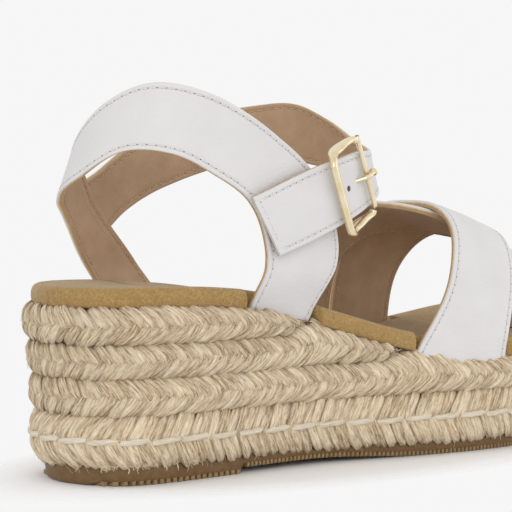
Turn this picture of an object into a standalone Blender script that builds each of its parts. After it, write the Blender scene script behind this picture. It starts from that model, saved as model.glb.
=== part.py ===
"""A women's wedge sandal for the right foot: a braid-wrapped wedge, a suede footbed and buckled straps.

Metres, +Z up. The toe points to +X and the outer side of the foot is at -Y. The origin is on the
ground, below the middle of the box round the whole sandal.
"""
import math

import bmesh
import bpy
from mathutils import Matrix, Vector

MM = 0.001
GAP = 0.3 * MM  # clearance that touching pieces keep

# Driving dimensions of the sole
LENGTH = 245 * MM
HEEL_HALF_WIDTH = 31.5 * MM
WAIST_HALF_WIDTH = 32 * MM
BALL_HALF_WIDTH = 44 * MM
OUTLINE_STEPS = 72
HEEL_X = -0.5 * LENGTH

# Heights of the wedge, from the ground
OUTSOLE_TOP = 6.5 * MM
OUTSOLE_THINNER_IN_FRONT = 1.2 * MM
SEAM_3_4 = 22.5 * MM
SEAM_2_3 = 34.2 * MM
SEAM_1_2 = 45.2 * MM
HEEL_BLOCK_END = HEEL_X + 62 * MM
SHANK_LIFT = 2 * MM
TOE_SPRING = 6 * MM
TOE_SPRING_FROM = 75 * MM
TOE_SPRING_TO = 125 * MM
HEEL_ROW_END = -37 * MM  # where the top braid ends
SECOND_ROW_END = 3 * MM
ROW_RISE = 7 * MM  # the braid below rises to the footbed within this length

# Insets of the layers from the widest outline
ROW_WALL_INSET = 9.6 * MM
ROW_WALL_AT_STRAP = 3.1 * MM
CORE_INSET = 9.9 * MM
VAMP_FOOT_INSET = 8.9 * MM
FOOTBED_INSET = 2.8 * MM
OUTSOLE_INSET = 6.6 * MM
ROW_SINK = 2.2 * MM  # how far a braid's edges lie behind its middle

# Leather
LINING = 1.0 * MM
LEATHER = 1.0 * MM
LAYER = LINING + GAP + LEATHER

# Footbed, in heights above the top of the wedge
BOARD_THICKNESS = 1.8 * MM
FOAM_TOP = 5.3 * MM
SUEDE_THICKNESS = 1.0 * MM
FOOTBED_HEIGHT = 6.7 * MM

# The loop round the ankle, as an oval that gets shorter towards the top
ANKLE_X = -50 * MM
ANKLE_HALF_LENGTH = 61 * MM
ANKLE_HALF_WIDTH = 30 * MM
ANKLE_HALF_WIDTH_AT_SEAT = 24.5 * MM
ANKLE_LEAN_FROM = 88 * MM
ANKLE_LEAN = 0.42
STRAP_FOOT_DEPTH = 7 * MM

# Buckle
BUCKLE_TURN = 61.0  # degrees from the front, towards the outer side
BUCKLE_HEIGHT = 93.4 * MM
BUCKLE_TILT = math.radians(26)
FRAME_HALF_HEIGHT = 13.9 * MM
REAR_BAR_AT = 9.0 * MM
FRONT_BAR_AT = 9.6 * MM
REAR_BAR_LIFT = 7.8 * MM
FRONT_BAR_LIFT = 6.9 * MM
FRAME_WIRE = 1.4 * MM
BAR_RADIUS = 0.9 * MM
TAB_THICKNESS = 0.6 * MM
TAB_HALF_WIDTH = 7.2 * MM
PRONG_RADIUS = 0.75 * MM
SLOT_HALF_WIDTH = 1.3 * MM

# How far the ankle strap and the buckle's hinge lie outside the heel strap's inner face
ANKLE_STRAP_LIFT = LAYER + GAP + TAB_THICKNESS + GAP
CENTRE_BAR_LIFT = LAYER - BAR_RADIUS

SUEDE = (0.47, 0.33, 0.15)
JUTE = (0.62, 0.48, 0.30)
WHITE = (0.75, 0.73, 0.74)
TAUPE = (0.37, 0.25, 0.16)
GOLD = (0.85, 0.66, 0.36)
RUBBER = (0.20, 0.12, 0.055)
CREAM = (0.80, 0.70, 0.52)
CORK = (0.45, 0.28, 0.14)
FOAM = (0.60, 0.55, 0.45)


def clear_scene():
    for old in list(bpy.data.objects):
        bpy.data.objects.remove(old, do_unlink=True)


def collection(name):
    made = bpy.data.collections.new(name)
    bpy.context.scene.collection.children.link(made)
    return made


def material(name, colour, roughness, metallic=0.0):
    made = bpy.data.materials.new(name)
    made.use_nodes = True
    shader = made.node_tree.nodes["Principled BSDF"]
    shader.inputs["Base Color"].default_value = (*colour, 1.0)
    shader.inputs["Roughness"].default_value = roughness
    shader.inputs["Metallic"].default_value = metallic
    return made


def smoothstep(low, high, value):
    share = min(1.0, max(0.0, (value - low) / (high - low)))
    return share * share * (3.0 - 2.0 * share)


def spline(points, share, closed=False):
    """A point on the Catmull-Rom curve through the points, at a share from 0 to 1 of its spans."""
    count = len(points)
    spans = count if closed else count - 1
    place = min(max(share, 0.0), 1.0) * spans
    first = min(int(place), spans - 1)
    local = place - first

    def knot(index):
        if closed:
            return Vector(points[index % count])
        if index < 0:
            return 2.0 * Vector(points[0]) - Vector(points[1])
        if index >= count:
            return 2.0 * Vector(points[-1]) - Vector(points[-2])
        return Vector(points[index])

    a, b, c, d = (knot(first + step) for step in (-1, 0, 1, 2))
    return 0.5 * (
        2.0 * b
        + (c - a) * local
        + (2.0 * a - 5.0 * b + 4.0 * c - d) * local ** 2
        + (3.0 * b - 3.0 * c + d - a) * local ** 3
    )


def evenly(points, count):
    """The points of a dense open polyline again, as count points at even distances."""
    lengths = [0.0]
    for before, after in zip(points, points[1:]):
        lengths.append(lengths[-1] + (after - before).length)
    spaced = []
    span = 0
    for index in range(count):
        wanted = lengths[-1] * index / (count - 1)
        while span < len(points) - 2 and lengths[span + 1] < wanted:
            span += 1
        share = (wanted - lengths[span]) / max(lengths[span + 1] - lengths[span], 1e-9)
        spaced.append(points[span].lerp(points[span + 1], min(1.0, share)))
    return spaced


def stepped_curve(points, count, closed=False, dense=400):
    """count points at even distances along the smooth curve through the points."""
    fine = [spline(points, index / dense, closed) for index in range(dense + 1)]
    spaced = evenly(fine, count + 1 if closed else count)
    return spaced[:-1] if closed else spaced


def outline():
    """The widest outline of the sole, from the back of the heel round the outer side, the toe and back."""
    heel, waist, ball = HEEL_HALF_WIDTH, WAIST_HALF_WIDTH, BALL_HALF_WIDTH
    points = [
        (0, 0), (0.016, -0.48 * heel), (0.057, -0.86 * heel), (0.13, -heel), (0.25, -heel),
        (0.39, -waist), (0.53, -0.5 * (waist + ball) - 0.001), (0.65, -ball), (0.755, -0.98 * ball),
        (0.865, -0.78 * ball), (0.95, -0.42 * ball), (1.001, 0.006), (0.984, 0.028), (0.906, 0.040),
        (0.80, 0.0442), (0.70, 0.0432), (0.57, 0.0365), (0.43, 0.030), (0.25, 0.97 * heel),
        (0.13, heel), (0.057, 0.86 * heel), (0.016, 0.48 * heel),
    ]
    return [Vector((HEEL_X + x * LENGTH, y, 0.0)) for x, y in points]


RIM = stepped_curve(outline(), OUTLINE_STEPS, closed=True)


def rim_normal(index):
    """The outward normal of the rim at one of its points. The rim runs anticlockwise, seen from above."""
    along = RIM[(index + 1) % OUTLINE_STEPS] - RIM[index - 1]
    return Vector((along.y, -along.x, 0.0)).normalized()


def seat(x):
    """The height of the top of the wedge: level under the heel, down to the ball and up to the toe."""
    points = [
        (-0.125, 0.0560), (-0.095, 0.0560), (-0.070, 0.0548), (-0.045, 0.0515), (-0.020, 0.0445),
        (0.005, 0.0375), (0.035, 0.0322), (0.065, 0.0350), (0.095, 0.0392), (0.125, 0.0425),
    ]
    low, high = points[0][0], points[-1][0]
    place = min(max(x, low), high)
    for index in range(len(points) - 1):
        if place <= points[index + 1][0]:
            break
    share = (place - points[index][0]) / (points[index + 1][0] - points[index][0])
    return spline([(a, b, 0) for a, b in points], (index + share) / (len(points) - 1)).y


def ground_lift(x):
    """The height of the underside: the heel block and the ball stand on the ground."""
    behind = smoothstep(HEEL_BLOCK_END, HEEL_BLOCK_END + 1 * MM, x)
    ahead = 1 - smoothstep(-30 * MM, 20 * MM, x)
    return SHANK_LIFT * behind * ahead + toe_spring(x)


def toe_spring(x):
    return TOE_SPRING * smoothstep(TOE_SPRING_FROM, TOE_SPRING_TO, x)


def outsole_top(x):
    return OUTSOLE_TOP - OUTSOLE_THINNER_IN_FRONT * smoothstep(-60 * MM, 0.0, x) + toe_spring(x)


# Where the straps go down between the footbed and the braid, as ranges of x on each side of the sole
STRAP_FEET = {
    -1: [(-70 * MM, -28 * MM), (0, 51 * MM), (66 * MM, 102 * MM)],
    1: [(-94 * MM, -44 * MM), (-8 * MM, 69 * MM)],
}


def near_strap(point):
    """1 beside a strap's foot and 0 away from it, with a short ramp between."""
    side = -1 if point.y < 0 else 1
    ramp = 3 * MM
    shares = [
        smoothstep(low - ramp, low, point.x) * (1 - smoothstep(high, high + ramp, point.x))
        for low, high in STRAP_FEET[side]
    ]
    return max(shares)


def inside(index, inset, z):
    """A point of the rim moved in by inset, at the height z."""
    point = RIM[index] - rim_normal(index) * inset
    return Vector((point.x, point.y, z))


def link(mesh, name, group, finish):
    made = bpy.data.objects.new(name, mesh)
    group.objects.link(made)
    made.data.materials.append(finish)
    made.data.shade_smooth()
    made.data.set_sharp_from_angle(angle=math.radians(40))
    return made


def loft(name, sections, group, finish, ring=False):
    """A closed solid through sections with the same number of points. A ring has no ends."""
    mesh = bpy.data.meshes.new(name)
    shape = bmesh.new()
    rows = [[shape.verts.new(point) for point in section] for section in sections]
    size = len(sections[0])
    spans = len(rows) if ring else len(rows) - 1
    for index in range(spans):
        here = rows[index]
        there = rows[(index + 1) % len(rows)]
        for side in range(size):
            after = (side + 1) % size
            shape.faces.new((here[side], there[side], there[after], here[after]))
    if not ring:
        shape.faces.new(rows[0])
        shape.faces.new(list(reversed(rows[-1])))
    bmesh.ops.recalc_face_normals(shape, faces=shape.faces)
    shape.to_mesh(mesh)
    shape.free()
    return link(mesh, name, group, finish)


def stacked(name, levels, group, finish):
    """A closed solid through closed outlines one above another, with flat or sloping ends."""
    mesh = bpy.data.meshes.new(name)
    shape = bmesh.new()
    rows = [[shape.verts.new(point) for point in level] for level in levels]
    count = len(levels[0])
    for lower, upper in zip(rows, rows[1:]):
        for index in range(count):
            after = (index + 1) % count
            shape.faces.new((lower[index], lower[after], upper[after], upper[index]))
    half = count // 2
    for row in (rows[0], rows[-1]):
        for index in range(half):
            corners = [row[index], row[index + 1], row[count - index - 1], row[-index]]
            shape.faces.new(list(dict.fromkeys(corners)))
    bmesh.ops.remove_doubles(shape, verts=shape.verts, dist=1e-7)
    bmesh.ops.recalc_face_normals(shape, faces=shape.faces)
    shape.to_mesh(mesh)
    shape.free()
    return link(mesh, name, group, finish)


def outsole(group, finish):
    levels = []
    for share, inset in ((0.0, OUTSOLE_INSET + 2.4 * MM), (1.0, OUTSOLE_INSET)):
        level = []
        for index in range(OUTLINE_STEPS):
            flat = inside(index, inset, 0)
            low, high = ground_lift(flat.x), outsole_top(flat.x)
            level.append(Vector((flat.x, flat.y, low + share * (high - low))))
        levels.append(level)
    return stacked("outsole", levels, group, finish)


def second_row_top(x):
    rise = smoothstep(HEEL_ROW_END + 0.5 * MM, HEEL_ROW_END + ROW_RISE, x)
    return SEAM_1_2 + (seat(x) - SEAM_1_2) * rise


def third_row_top(x):
    rise = smoothstep(SECOND_ROW_END + 0.5 * MM, SECOND_ROW_END + ROW_RISE, x)
    return SEAM_2_3 + (seat(x) - SEAM_2_3) * rise


# Each braid, from the top: name, inset of its widest line, its lower edge, its upper edge, where it ends,
# and whether the straps go down behind it
BRAIDS = [
    ("jute_row_1", 0.0, lambda x: SEAM_1_2, seat, HEEL_ROW_END, True),
    ("jute_row_2", 1.5 * MM, lambda x: SEAM_2_3, second_row_top, SECOND_ROW_END, True),
    ("jute_row_3", 2.2 * MM, lambda x: SEAM_3_4, third_row_top, None, True),
    ("jute_row_4", 2.8 * MM, outsole_top, lambda x: SEAM_3_4, None, False),
]


def braid(name, bulge, lower, upper, end, beside_straps, group, finish):
    """A row of jute braid, glued round the wedge with its middle proud of its edges."""
    sections = []
    order = range(OUTLINE_STEPS)
    if end is not None:
        count = OUTLINE_STEPS // 2
        order = [index for index in range(-count, count) if RIM[index].x <= end]
    for index in order:
        wall = ROW_WALL_INSET
        if beside_straps:
            wall -= (ROW_WALL_INSET - ROW_WALL_AT_STRAP) * near_strap(RIM[index])
        edge = min(bulge + ROW_SINK, wall - 0.3 * MM)
        section = []
        for inset, share in (
            (wall, 0.0), (edge, 0.0), (bulge + 0.4 * MM, 0.22), (bulge, 0.5), (bulge + 0.4 * MM, 0.78),
            (edge, 1.0), (wall, 1.0),
        ):
            flat = inside(index, inset, 0)
            low = lower(flat.x) + 0.5 * GAP
            high = upper(flat.x) - 0.5 * GAP
            section.append(inside(index, inset, low + share * (high - low)))
        sections.append(section)
    return loft(name, sections, group, finish, ring=end is None)


def sole_stitch(group, finish):
    """The cream cord sewn along the middle of the bottom braid."""
    radius = 0.75 * MM
    sides = 6
    bulge = BRAIDS[3][1]
    sections = []
    for index in range(OUTLINE_STEPS):
        x = RIM[index].x
        middle = 0.5 * (outsole_top(x) + SEAM_3_4)
        section = []
        for side in range(sides):
            angle = math.tau * side / sides
            section.append(inside(
                index, bulge - radius - GAP - radius * math.cos(angle), middle + radius * math.sin(angle)))
        sections.append(section)
    return loft("sole_stitch", sections, group, finish, ring=True)


def level(inset, height):
    """A closed outline at a height above the wedge, moved in by inset, and further in beside the straps."""
    points = []
    for index in range(OUTLINE_STEPS):
        inward = inset + (ROW_WALL_INSET - FOOTBED_INSET + 0.4 * MM) * near_strap(RIM[index])
        flat = inside(index, inward, 0)
        points.append(Vector((flat.x, flat.y, seat(flat.x) + height)))
    return points


def wedge_core(group, finish):
    levels = []
    for height in (lambda x: outsole_top(x) + GAP, seat):
        flat = [inside(index, CORE_INSET, 0) for index in range(OUTLINE_STEPS)]
        levels.append([Vector((point.x, point.y, height(point.x))) for point in flat])
    return stacked("wedge_core", levels, group, finish)


def footbed(group):
    """The insole board, the foam on it and the suede that wraps over both."""
    skin = FOOTBED_INSET + SUEDE_THICKNESS
    inner = skin + GAP
    board_top = GAP + BOARD_THICKNESS
    foam_shoulder = FOAM_TOP - 0.8 * MM
    top = FOOTBED_HEIGHT
    stacked("insole_board", [
        level(inner, GAP),
        level(inner, board_top),
    ], group, material("insole_board", CORK, 0.8))
    stacked("footbed_foam", [
        level(inner, board_top + GAP),
        level(inner, foam_shoulder),
        level(inner + 1.0 * MM, FOAM_TOP),
    ], group, material("footbed_foam", FOAM, 0.9))
    stacked("footbed_cover", [
        level(inner + 0.7 * MM, FOAM_TOP + GAP),
        level(skin, foam_shoulder + GAP),
        level(skin, GAP),
        level(FOOTBED_INSET, GAP),
        level(FOOTBED_INSET, top - 1.9 * MM),
        level(FOOTBED_INSET + 0.7 * MM, top - 0.5 * MM),
        level(FOOTBED_INSET + 2.2 * MM, top),
    ], group, material("footbed_cover", SUEDE, 0.95))


def ankle(turn, z, lift):
    """A point beside the ankle: turn goes in degrees from the front by the outer side and the back."""
    angle = math.radians(turn)
    lean = 1.0 if math.cos(angle) < 0 else math.cos(angle) ** 2
    length = ANKLE_HALF_LENGTH - ANKLE_LEAN * lean * max(0.0, z - ANKLE_LEAN_FROM)
    rise = smoothstep(52 * MM, 68 * MM, z)
    width = ANKLE_HALF_WIDTH_AT_SEAT + (ANKLE_HALF_WIDTH - ANKLE_HALF_WIDTH_AT_SEAT) * rise
    normal = Vector((math.cos(angle) / length, -math.sin(angle) / width, 0)).normalized()
    point = Vector((ANKLE_X + length * math.cos(angle), -width * math.sin(angle), z))
    return point + normal * lift


def half_width(x, side):
    """Half the width of the sole at x, on the outer side (-1) or the inner side (1)."""
    best = 0.0
    for before, after in zip(RIM, RIM[1:] + RIM[:1]):
        if (before.x - x) * (after.x - x) <= 0 and before.x != after.x:
            share = (x - before.x) / (after.x - before.x)
            y = before.y + share * (after.y - before.y)
            if y * side > best:
                best = y * side
    return best


def instep_top(x):
    """The height of the foot's back, over the middle of the sole."""
    heights = [89 * MM, 85.5 * MM, 82 * MM, 77 * MM, 70.5 * MM, 63 * MM, 55 * MM]
    first, step = 10 * MM, 16 * MM
    share = (x - first) / (step * (len(heights) - 1))
    return spline([(0, height, 0) for height in heights], share).y


def foot_back(x, angle, lift):
    """A point on the back of the forefoot: angle goes from -90 at the outer edge to 90 at the inner edge."""

    def at(place, turn):
        radians = math.radians(turn)
        outer = half_width(place, -1) - VAMP_FOOT_INSET
        inner = half_width(place, 1) - VAMP_FOOT_INSET
        low = seat(place) - STRAP_FOOT_DEPTH
        power = 2.0 / 3.0
        across = math.copysign(abs(math.sin(radians)) ** power, turn)
        up = max(0.0, math.cos(radians)) ** power
        y = 0.5 * (inner - outer) + 0.5 * (inner + outer) * across
        return Vector((place, y, low + (instep_top(place) - low) * up))

    step = 0.5
    safe = min(max(angle, -90 + step), 90 - step)
    over = at(x, safe + step) - at(x, safe - step)
    along = at(x + 1 * MM, safe) - at(x - 1 * MM, safe)
    normal = over.cross(along).normalized()
    if normal.dot(at(x, safe) - Vector((x, 0.0, seat(x)))) < 0:
        normal = -normal
    return at(x, angle) + normal * lift


def edge_places(knots, surface, count):
    """count places at even distances along an edge that is drawn on a surface through its knots."""
    fine = [spline([(a, b, 0) for a, b in knots], index / 300) for index in range(301)]
    spots = [surface(place.x, place.y, 0) for place in fine]
    lengths = [0.0]
    for before, after in zip(spots, spots[1:]):
        lengths.append(lengths[-1] + (after - before).length)
    places = []
    span = 0
    for index in range(count):
        wanted = lengths[-1] * index / (count - 1)
        while span < len(spots) - 2 and lengths[span + 1] < wanted:
            span += 1
        share = (wanted - lengths[span]) / max(lengths[span + 1] - lengths[span], 1e-9)
        places.append(fine[span].lerp(fine[span + 1], min(1.0, share)))
    return places


def band(name, first_edge, second_edge, surface, low, high, group, finish, stations=36, across=3):
    """A strap layer between two edges on a surface, from one height above it to another."""
    first = edge_places(first_edge, surface, stations)
    second = edge_places(second_edge, surface, stations)
    sections = []
    for one, other in zip(first, second):
        places = [one.lerp(other, step / across) for step in range(across + 1)]
        under = [surface(place.x, place.y, low) for place in places]
        over = [surface(place.x, place.y, high) for place in reversed(places)]
        sections.append(under + over)
    return loft(name, sections, group, finish)


# The straps' edges: (turn, height) beside the ankle, (x, angle) over the forefoot
HEEL_STRAP_UPPER = [
    (76, 0.0445), (67, 0.060), (63, 0.075), (72, 0.094), (92, 0.1105), (120, 0.123), (150, 0.127),
    (175, 0.121), (200, 0.109), (225, 0.098), (246, 0.080), (260, 0.064), (268, 0.0455),
]
HEEL_STRAP_LOWER = [
    (100, 0.0465), (97, 0.058), (95, 0.073), (101, 0.0885), (116, 0.098), (134, 0.1045), (156, 0.105),
    (178, 0.0965), (200, 0.0905), (216, 0.0835), (228, 0.072), (238, 0.0605), (243, 0.0475),
]
ANKLE_STRAP_UPPER = [
    (218, 0.0915), (238, 0.097), (256, 0.107), (285, 0.118), (315, 0.1225), (335, 0.1225),
    (353, 0.117), (372, 0.109), (394, 0.106), (416, 0.105), (440, 0.0995), (463, 0.0905),
]
ANKLE_STRAP_LOWER = [
    (234, 0.0725), (246, 0.0775), (257, 0.0855), (272, 0.093), (296, 0.1005), (322, 0.1025),
    (345, 0.0995), (370, 0.0935), (397, 0.0895), (424, 0.0815), (453, 0.0715),
]
OVER_STRAP_REAR = [
    (8, -90), (17, -80), (24, -68), (29, -52), (33, -34), (35, -14), (36, 8), (35, 35), (33, 62), (31, 90),
]
OVER_STRAP_FRONT = [
    (47, -90), (51, -78), (55, -64), (59, -46), (63, -28), (66, -8), (68, 14), (68, 38), (66, 64), (65, 90),
]
UNDER_STRAP_REAR = [
    (-4, 90), (-3, 74), (0, 54), (7, 32), (18, 12), (32, -8), (46, -28), (58, -50), (66, -72), (70, -90),
]
UNDER_STRAP_FRONT = [
    (26, 90), (27, 72), (31, 54), (43, 36), (56, 20), (67, 2), (77, -18), (86, -40), (93, -66), (98, -90),
]


def in_metres(knots):
    return [(x * MM, angle) for x, angle in knots]


def straps(group):
    pairs = [
        ("heel_strap", HEEL_STRAP_UPPER, HEEL_STRAP_LOWER, ankle, 0.0, 44, 3),
        ("ankle_strap", ANKLE_STRAP_UPPER, ANKLE_STRAP_LOWER, ankle, ANKLE_STRAP_LIFT, 44, 3),
        ("vamp_under_strap", in_metres(UNDER_STRAP_REAR), in_metres(UNDER_STRAP_FRONT), foot_back,
         0.0, 30, 5),
        ("vamp_over_strap", in_metres(OVER_STRAP_REAR), in_metres(OVER_STRAP_FRONT), foot_back,
         LAYER + GAP, 30, 5),
    ]
    made = {}
    for name, first, second, surface, lift, stations, across in pairs:
        lining, outer = name + "_lining", name + "_outer"
        made[lining] = band(
            lining, first, second, surface, lift, lift + LINING,
            group, material(lining, TAUPE, 0.75), stations, across)
        made[outer] = band(
            outer, first, second, surface, lift + LINING + GAP, lift + LAYER,
            group, material(outer, WHITE, 0.55), stations, across)
    return made


def buckle_frame_matrix():
    """Local axes on the outer side of the ankle: +X rearward along the strap, +Y across it, +Z outward."""
    centre = ankle(BUCKLE_TURN, BUCKLE_HEIGHT, 0)
    back = (ankle(BUCKLE_TURN + 1, BUCKLE_HEIGHT, 0) - ankle(BUCKLE_TURN - 1, BUCKLE_HEIGHT, 0)).normalized()
    up = ankle(BUCKLE_TURN, BUCKLE_HEIGHT + 1 * MM, 0) - ankle(BUCKLE_TURN, BUCKLE_HEIGHT - 1 * MM, 0)
    up = (up - back * up.dot(back)).normalized()
    along = back * math.cos(BUCKLE_TILT) - up * math.sin(BUCKLE_TILT)
    over = back * math.sin(BUCKLE_TILT) + up * math.cos(BUCKLE_TILT)
    outward = along.cross(over)
    if outward.dot(ankle(BUCKLE_TURN, BUCKLE_HEIGHT, 1) - centre) < 0:
        outward = -outward
    axes = Matrix((along, over, outward)).transposed()
    return Matrix.Translation(centre) @ axes.to_4x4()


def gold(name):
    return material(name, GOLD, 0.22, 1.0)


def wire(name, points, radius, group, place, radii=None):
    """A round wire through points, in the buckle's axes, turned into a mesh with its caps welded."""
    curve = bpy.data.curves.new(name, "CURVE")
    curve.dimensions = "3D"
    curve.bevel_depth = radius
    curve.bevel_resolution = 2
    curve.use_fill_caps = True
    line = curve.splines.new("POLY")
    line.points.add(len(points) - 1)
    for index, point in enumerate(points):
        line.points[index].co = (*(place @ Vector(point)), 1.0)
        if radii:
            line.points[index].radius = radii[index]
    drawn = bpy.data.objects.new(name + "_curve", curve)
    bpy.context.scene.collection.objects.link(drawn)
    shown = drawn.evaluated_get(bpy.context.evaluated_depsgraph_get())
    mesh = bpy.data.meshes.new_from_object(shown)
    bpy.data.objects.remove(drawn, do_unlink=True)
    mesh.name = name
    welded = bmesh.new()
    welded.from_mesh(mesh)
    bmesh.ops.remove_doubles(welded, verts=welded.verts, dist=1e-6)
    bmesh.ops.recalc_face_normals(welded, faces=welded.faces)
    welded.to_mesh(mesh)
    welded.free()
    mesh.materials.clear()
    return link(mesh, name, group, gold(name))


def box_cutter(name, low, high, place, group):
    """A box in the buckle's axes, used to cut other pieces."""
    mesh = bpy.data.meshes.new(name)
    shape = bmesh.new()
    bmesh.ops.create_cube(shape, size=1.0)
    for corner in shape.verts:
        for axis in range(3):
            corner.co[axis] = low[axis] if corner.co[axis] < 0 else high[axis]
        corner.co = place @ corner.co
    bmesh.ops.recalc_face_normals(shape, faces=shape.faces)
    shape.to_mesh(mesh)
    shape.free()
    made = bpy.data.objects.new(name, mesh)
    group.objects.link(made)
    made.hide_render = True
    made.display_type = "WIRE"
    return made


def cut(target, cutter):
    step = target.modifiers.new("cut_" + cutter.name, "BOOLEAN")
    step.operation = "DIFFERENCE"
    step.solver = "EXACT"
    step.object = cutter


def arc(centre, radius, start, stop, steps):
    """Points on an arc in the buckle's XZ plane, with angles in degrees from outward towards the rear."""
    points = []
    for index in range(steps + 1):
        angle = math.radians(start + (stop - start) * index / steps)
        points.append((centre[0] + radius * math.sin(angle), 0.0, centre[1] + radius * math.cos(angle)))
    return points


def hang_on_hinge(pieces, group, centre):
    """Parents pieces to an empty on the centre bar, where the frame and the prong turn."""
    hinge = bpy.data.objects.new("buckle_hinge", None)
    hinge.location = centre
    group.objects.link(hinge)
    for piece in pieces:
        piece.parent = hinge
        piece.matrix_parent_inverse = Matrix.Translation(-centre)


def buckle(group, cutters, made):
    place = buckle_frame_matrix()
    side = FRAME_HALF_HEIGHT
    arm = [
        (-FRONT_BAR_AT, side - 1.1 * MM, FRONT_BAR_LIFT),
        (-FRONT_BAR_AT + 0.4 * MM, side, FRONT_BAR_LIFT - 0.2 * MM),
        (-6.5 * MM, side + 0.3 * MM, 4.6 * MM), (-3.2 * MM, side + 0.3 * MM, 2.3 * MM),
        (0, side + 0.3 * MM, CENTRE_BAR_LIFT), (3.2 * MM, side + 0.3 * MM, 2.6 * MM),
        (5.4 * MM, side + 0.2 * MM, 4.9 * MM), (7.6 * MM, side - 0.2 * MM, REAR_BAR_LIFT - 0.2 * MM),
        (REAR_BAR_AT - 0.2 * MM, side - 1.6 * MM, REAR_BAR_LIFT),
    ]
    upper = [spline(arm, index / 22) for index in range(23)]
    lower = [Vector((point.x, -point.y, point.z)) for point in reversed(upper)]
    rear_bar = [Vector((REAR_BAR_AT, 0, REAR_BAR_LIFT))]
    pieces = [wire("buckle_frame", upper + rear_bar + lower, FRAME_WIRE, group, place)]
    reach = side - FRAME_WIRE
    for name, along, lift, half in (
        ("buckle_front_bar", -FRONT_BAR_AT, FRONT_BAR_LIFT, side - 1.1 * MM - GAP),
        ("buckle_centre_bar", 0, CENTRE_BAR_LIFT, reach),
    ):
        ends = [(along, -half, lift), (along, 0, lift), (along, half, lift)]
        pieces.append(wire(name, ends, BAR_RADIUS, group, place))

    ring = BAR_RADIUS + GAP + PRONG_RADIUS
    loop = arc((0, CENTRE_BAR_LIFT), ring, 283, 0, 14)
    rest = FRONT_BAR_LIFT + BAR_RADIUS + GAP + PRONG_RADIUS
    shaft = [
        (-2.2 * MM, 0, CENTRE_BAR_LIFT + ring + 0.5 * MM), (-4.6 * MM, 0, CENTRE_BAR_LIFT + ring + 2.2 * MM),
        (-7.2 * MM, 0, rest - 0.5 * MM), (-FRONT_BAR_AT, 0, rest),
        (-FRONT_BAR_AT - 1.7 * MM, 0, rest - 0.3 * MM),
        (-FRONT_BAR_AT - 2.6 * MM, 0, rest - 0.7 * MM),
    ]
    radii = [1.0] * (len(loop) + 4) + [1.45, 0.9]
    pieces.append(wire("buckle_prong", loop + shaft, PRONG_RADIUS, group, place, radii))
    hang_on_hinge(pieces, group, place @ Vector((0, 0, CENTRE_BAR_LIFT)))

    slot_low = (-7.4 * MM, -SLOT_HALF_WIDTH, -6 * MM)
    slot_high = (2.9 * MM, SLOT_HALF_WIDTH, 9 * MM)
    slot = box_cutter("prong_slot", slot_low, slot_high, place, cutters)
    buckle_tab(group, place, slot)
    cut(made["ankle_strap_outer"], slot)
    cut(made["ankle_strap_lining"], slot)


def buckle_tab(group, place, slot):
    """The short leather tab sewn to the heel strap, looped round the centre bar, slit for the prong."""
    speed = (ankle(BUCKLE_TURN + 0.5, BUCKLE_HEIGHT, 0) - ankle(BUCKLE_TURN - 0.5, BUCKLE_HEIGHT, 0)).length

    def on_strap(along, across, lift):
        back = along * math.cos(BUCKLE_TILT) + across * math.sin(BUCKLE_TILT)
        z = BUCKLE_HEIGHT - along * math.sin(BUCKLE_TILT) + across * math.cos(BUCKLE_TILT)
        return ankle(BUCKLE_TURN + back / speed, z, lift)

    inner = BAR_RADIUS + GAP
    outer = inner + TAB_THICKNESS
    centre = CENTRE_BAR_LIFT
    inside_loop = arc((0, centre), inner, 0, -180, 10)
    outside_loop = arc((0, centre), outer, -180, 0, 10)
    profile = [(18 * MM, 0, centre + inner), (6 * MM, 0, centre + inner)] + inside_loop
    profile += [(2.6 * MM, 0, centre - inner), (2.6 * MM, 0, centre - outer)] + outside_loop
    profile += [(6 * MM, 0, centre + outer), (18 * MM, 0, centre + outer)]
    sections = []
    for step in range(5):
        across = TAB_HALF_WIDTH * (step / 2 - 1)
        sections.append([on_strap(along, across, lift) for along, _, lift in profile])
    tab = loft("buckle_tab", sections, group, material("buckle_tab", WHITE, 0.6))
    cut(tab, slot)


def main():
    clear_scene()
    group = collection("wedge_sandal")
    cutters = collection("cutters")
    outsole(group, material("outsole", RUBBER, 0.6))
    wedge_core(group, material("wedge_core", CORK, 0.85))
    for name, bulge, lower, upper, end, beside_straps in BRAIDS:
        braid(name, bulge, lower, upper, end, beside_straps, group, material(name, JUTE, 0.9))
    sole_stitch(group, material("sole_stitch", CREAM, 0.8))
    footbed(group)
    made = straps(group)
    buckle(group, cutters, made)


main()
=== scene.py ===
"""A wedge sandal: jute braids round the wedge, a suede footbed, stitched leather straps and a gold buckle.

Everything is in metres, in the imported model's frame: +X to the toe, +Z up, the outer side of the foot at -Y.
"""
import math

import bmesh
import bpy
import numpy as np
from mathutils import Matrix, Vector


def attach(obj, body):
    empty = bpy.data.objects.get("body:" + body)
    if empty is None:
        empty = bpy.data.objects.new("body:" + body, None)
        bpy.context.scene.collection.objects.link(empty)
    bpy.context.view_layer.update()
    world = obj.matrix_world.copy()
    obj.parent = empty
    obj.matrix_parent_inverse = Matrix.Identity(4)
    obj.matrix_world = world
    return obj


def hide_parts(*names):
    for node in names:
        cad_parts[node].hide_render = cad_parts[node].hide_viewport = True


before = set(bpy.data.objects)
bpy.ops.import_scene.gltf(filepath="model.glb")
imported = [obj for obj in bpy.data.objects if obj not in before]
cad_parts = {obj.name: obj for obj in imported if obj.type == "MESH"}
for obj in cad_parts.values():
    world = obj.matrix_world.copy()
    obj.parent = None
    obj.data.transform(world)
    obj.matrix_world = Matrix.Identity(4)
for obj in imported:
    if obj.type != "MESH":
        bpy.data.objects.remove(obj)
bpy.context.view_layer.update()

MM = 0.001
BODY = "sandal"
random = np.random.default_rng(11)

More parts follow.
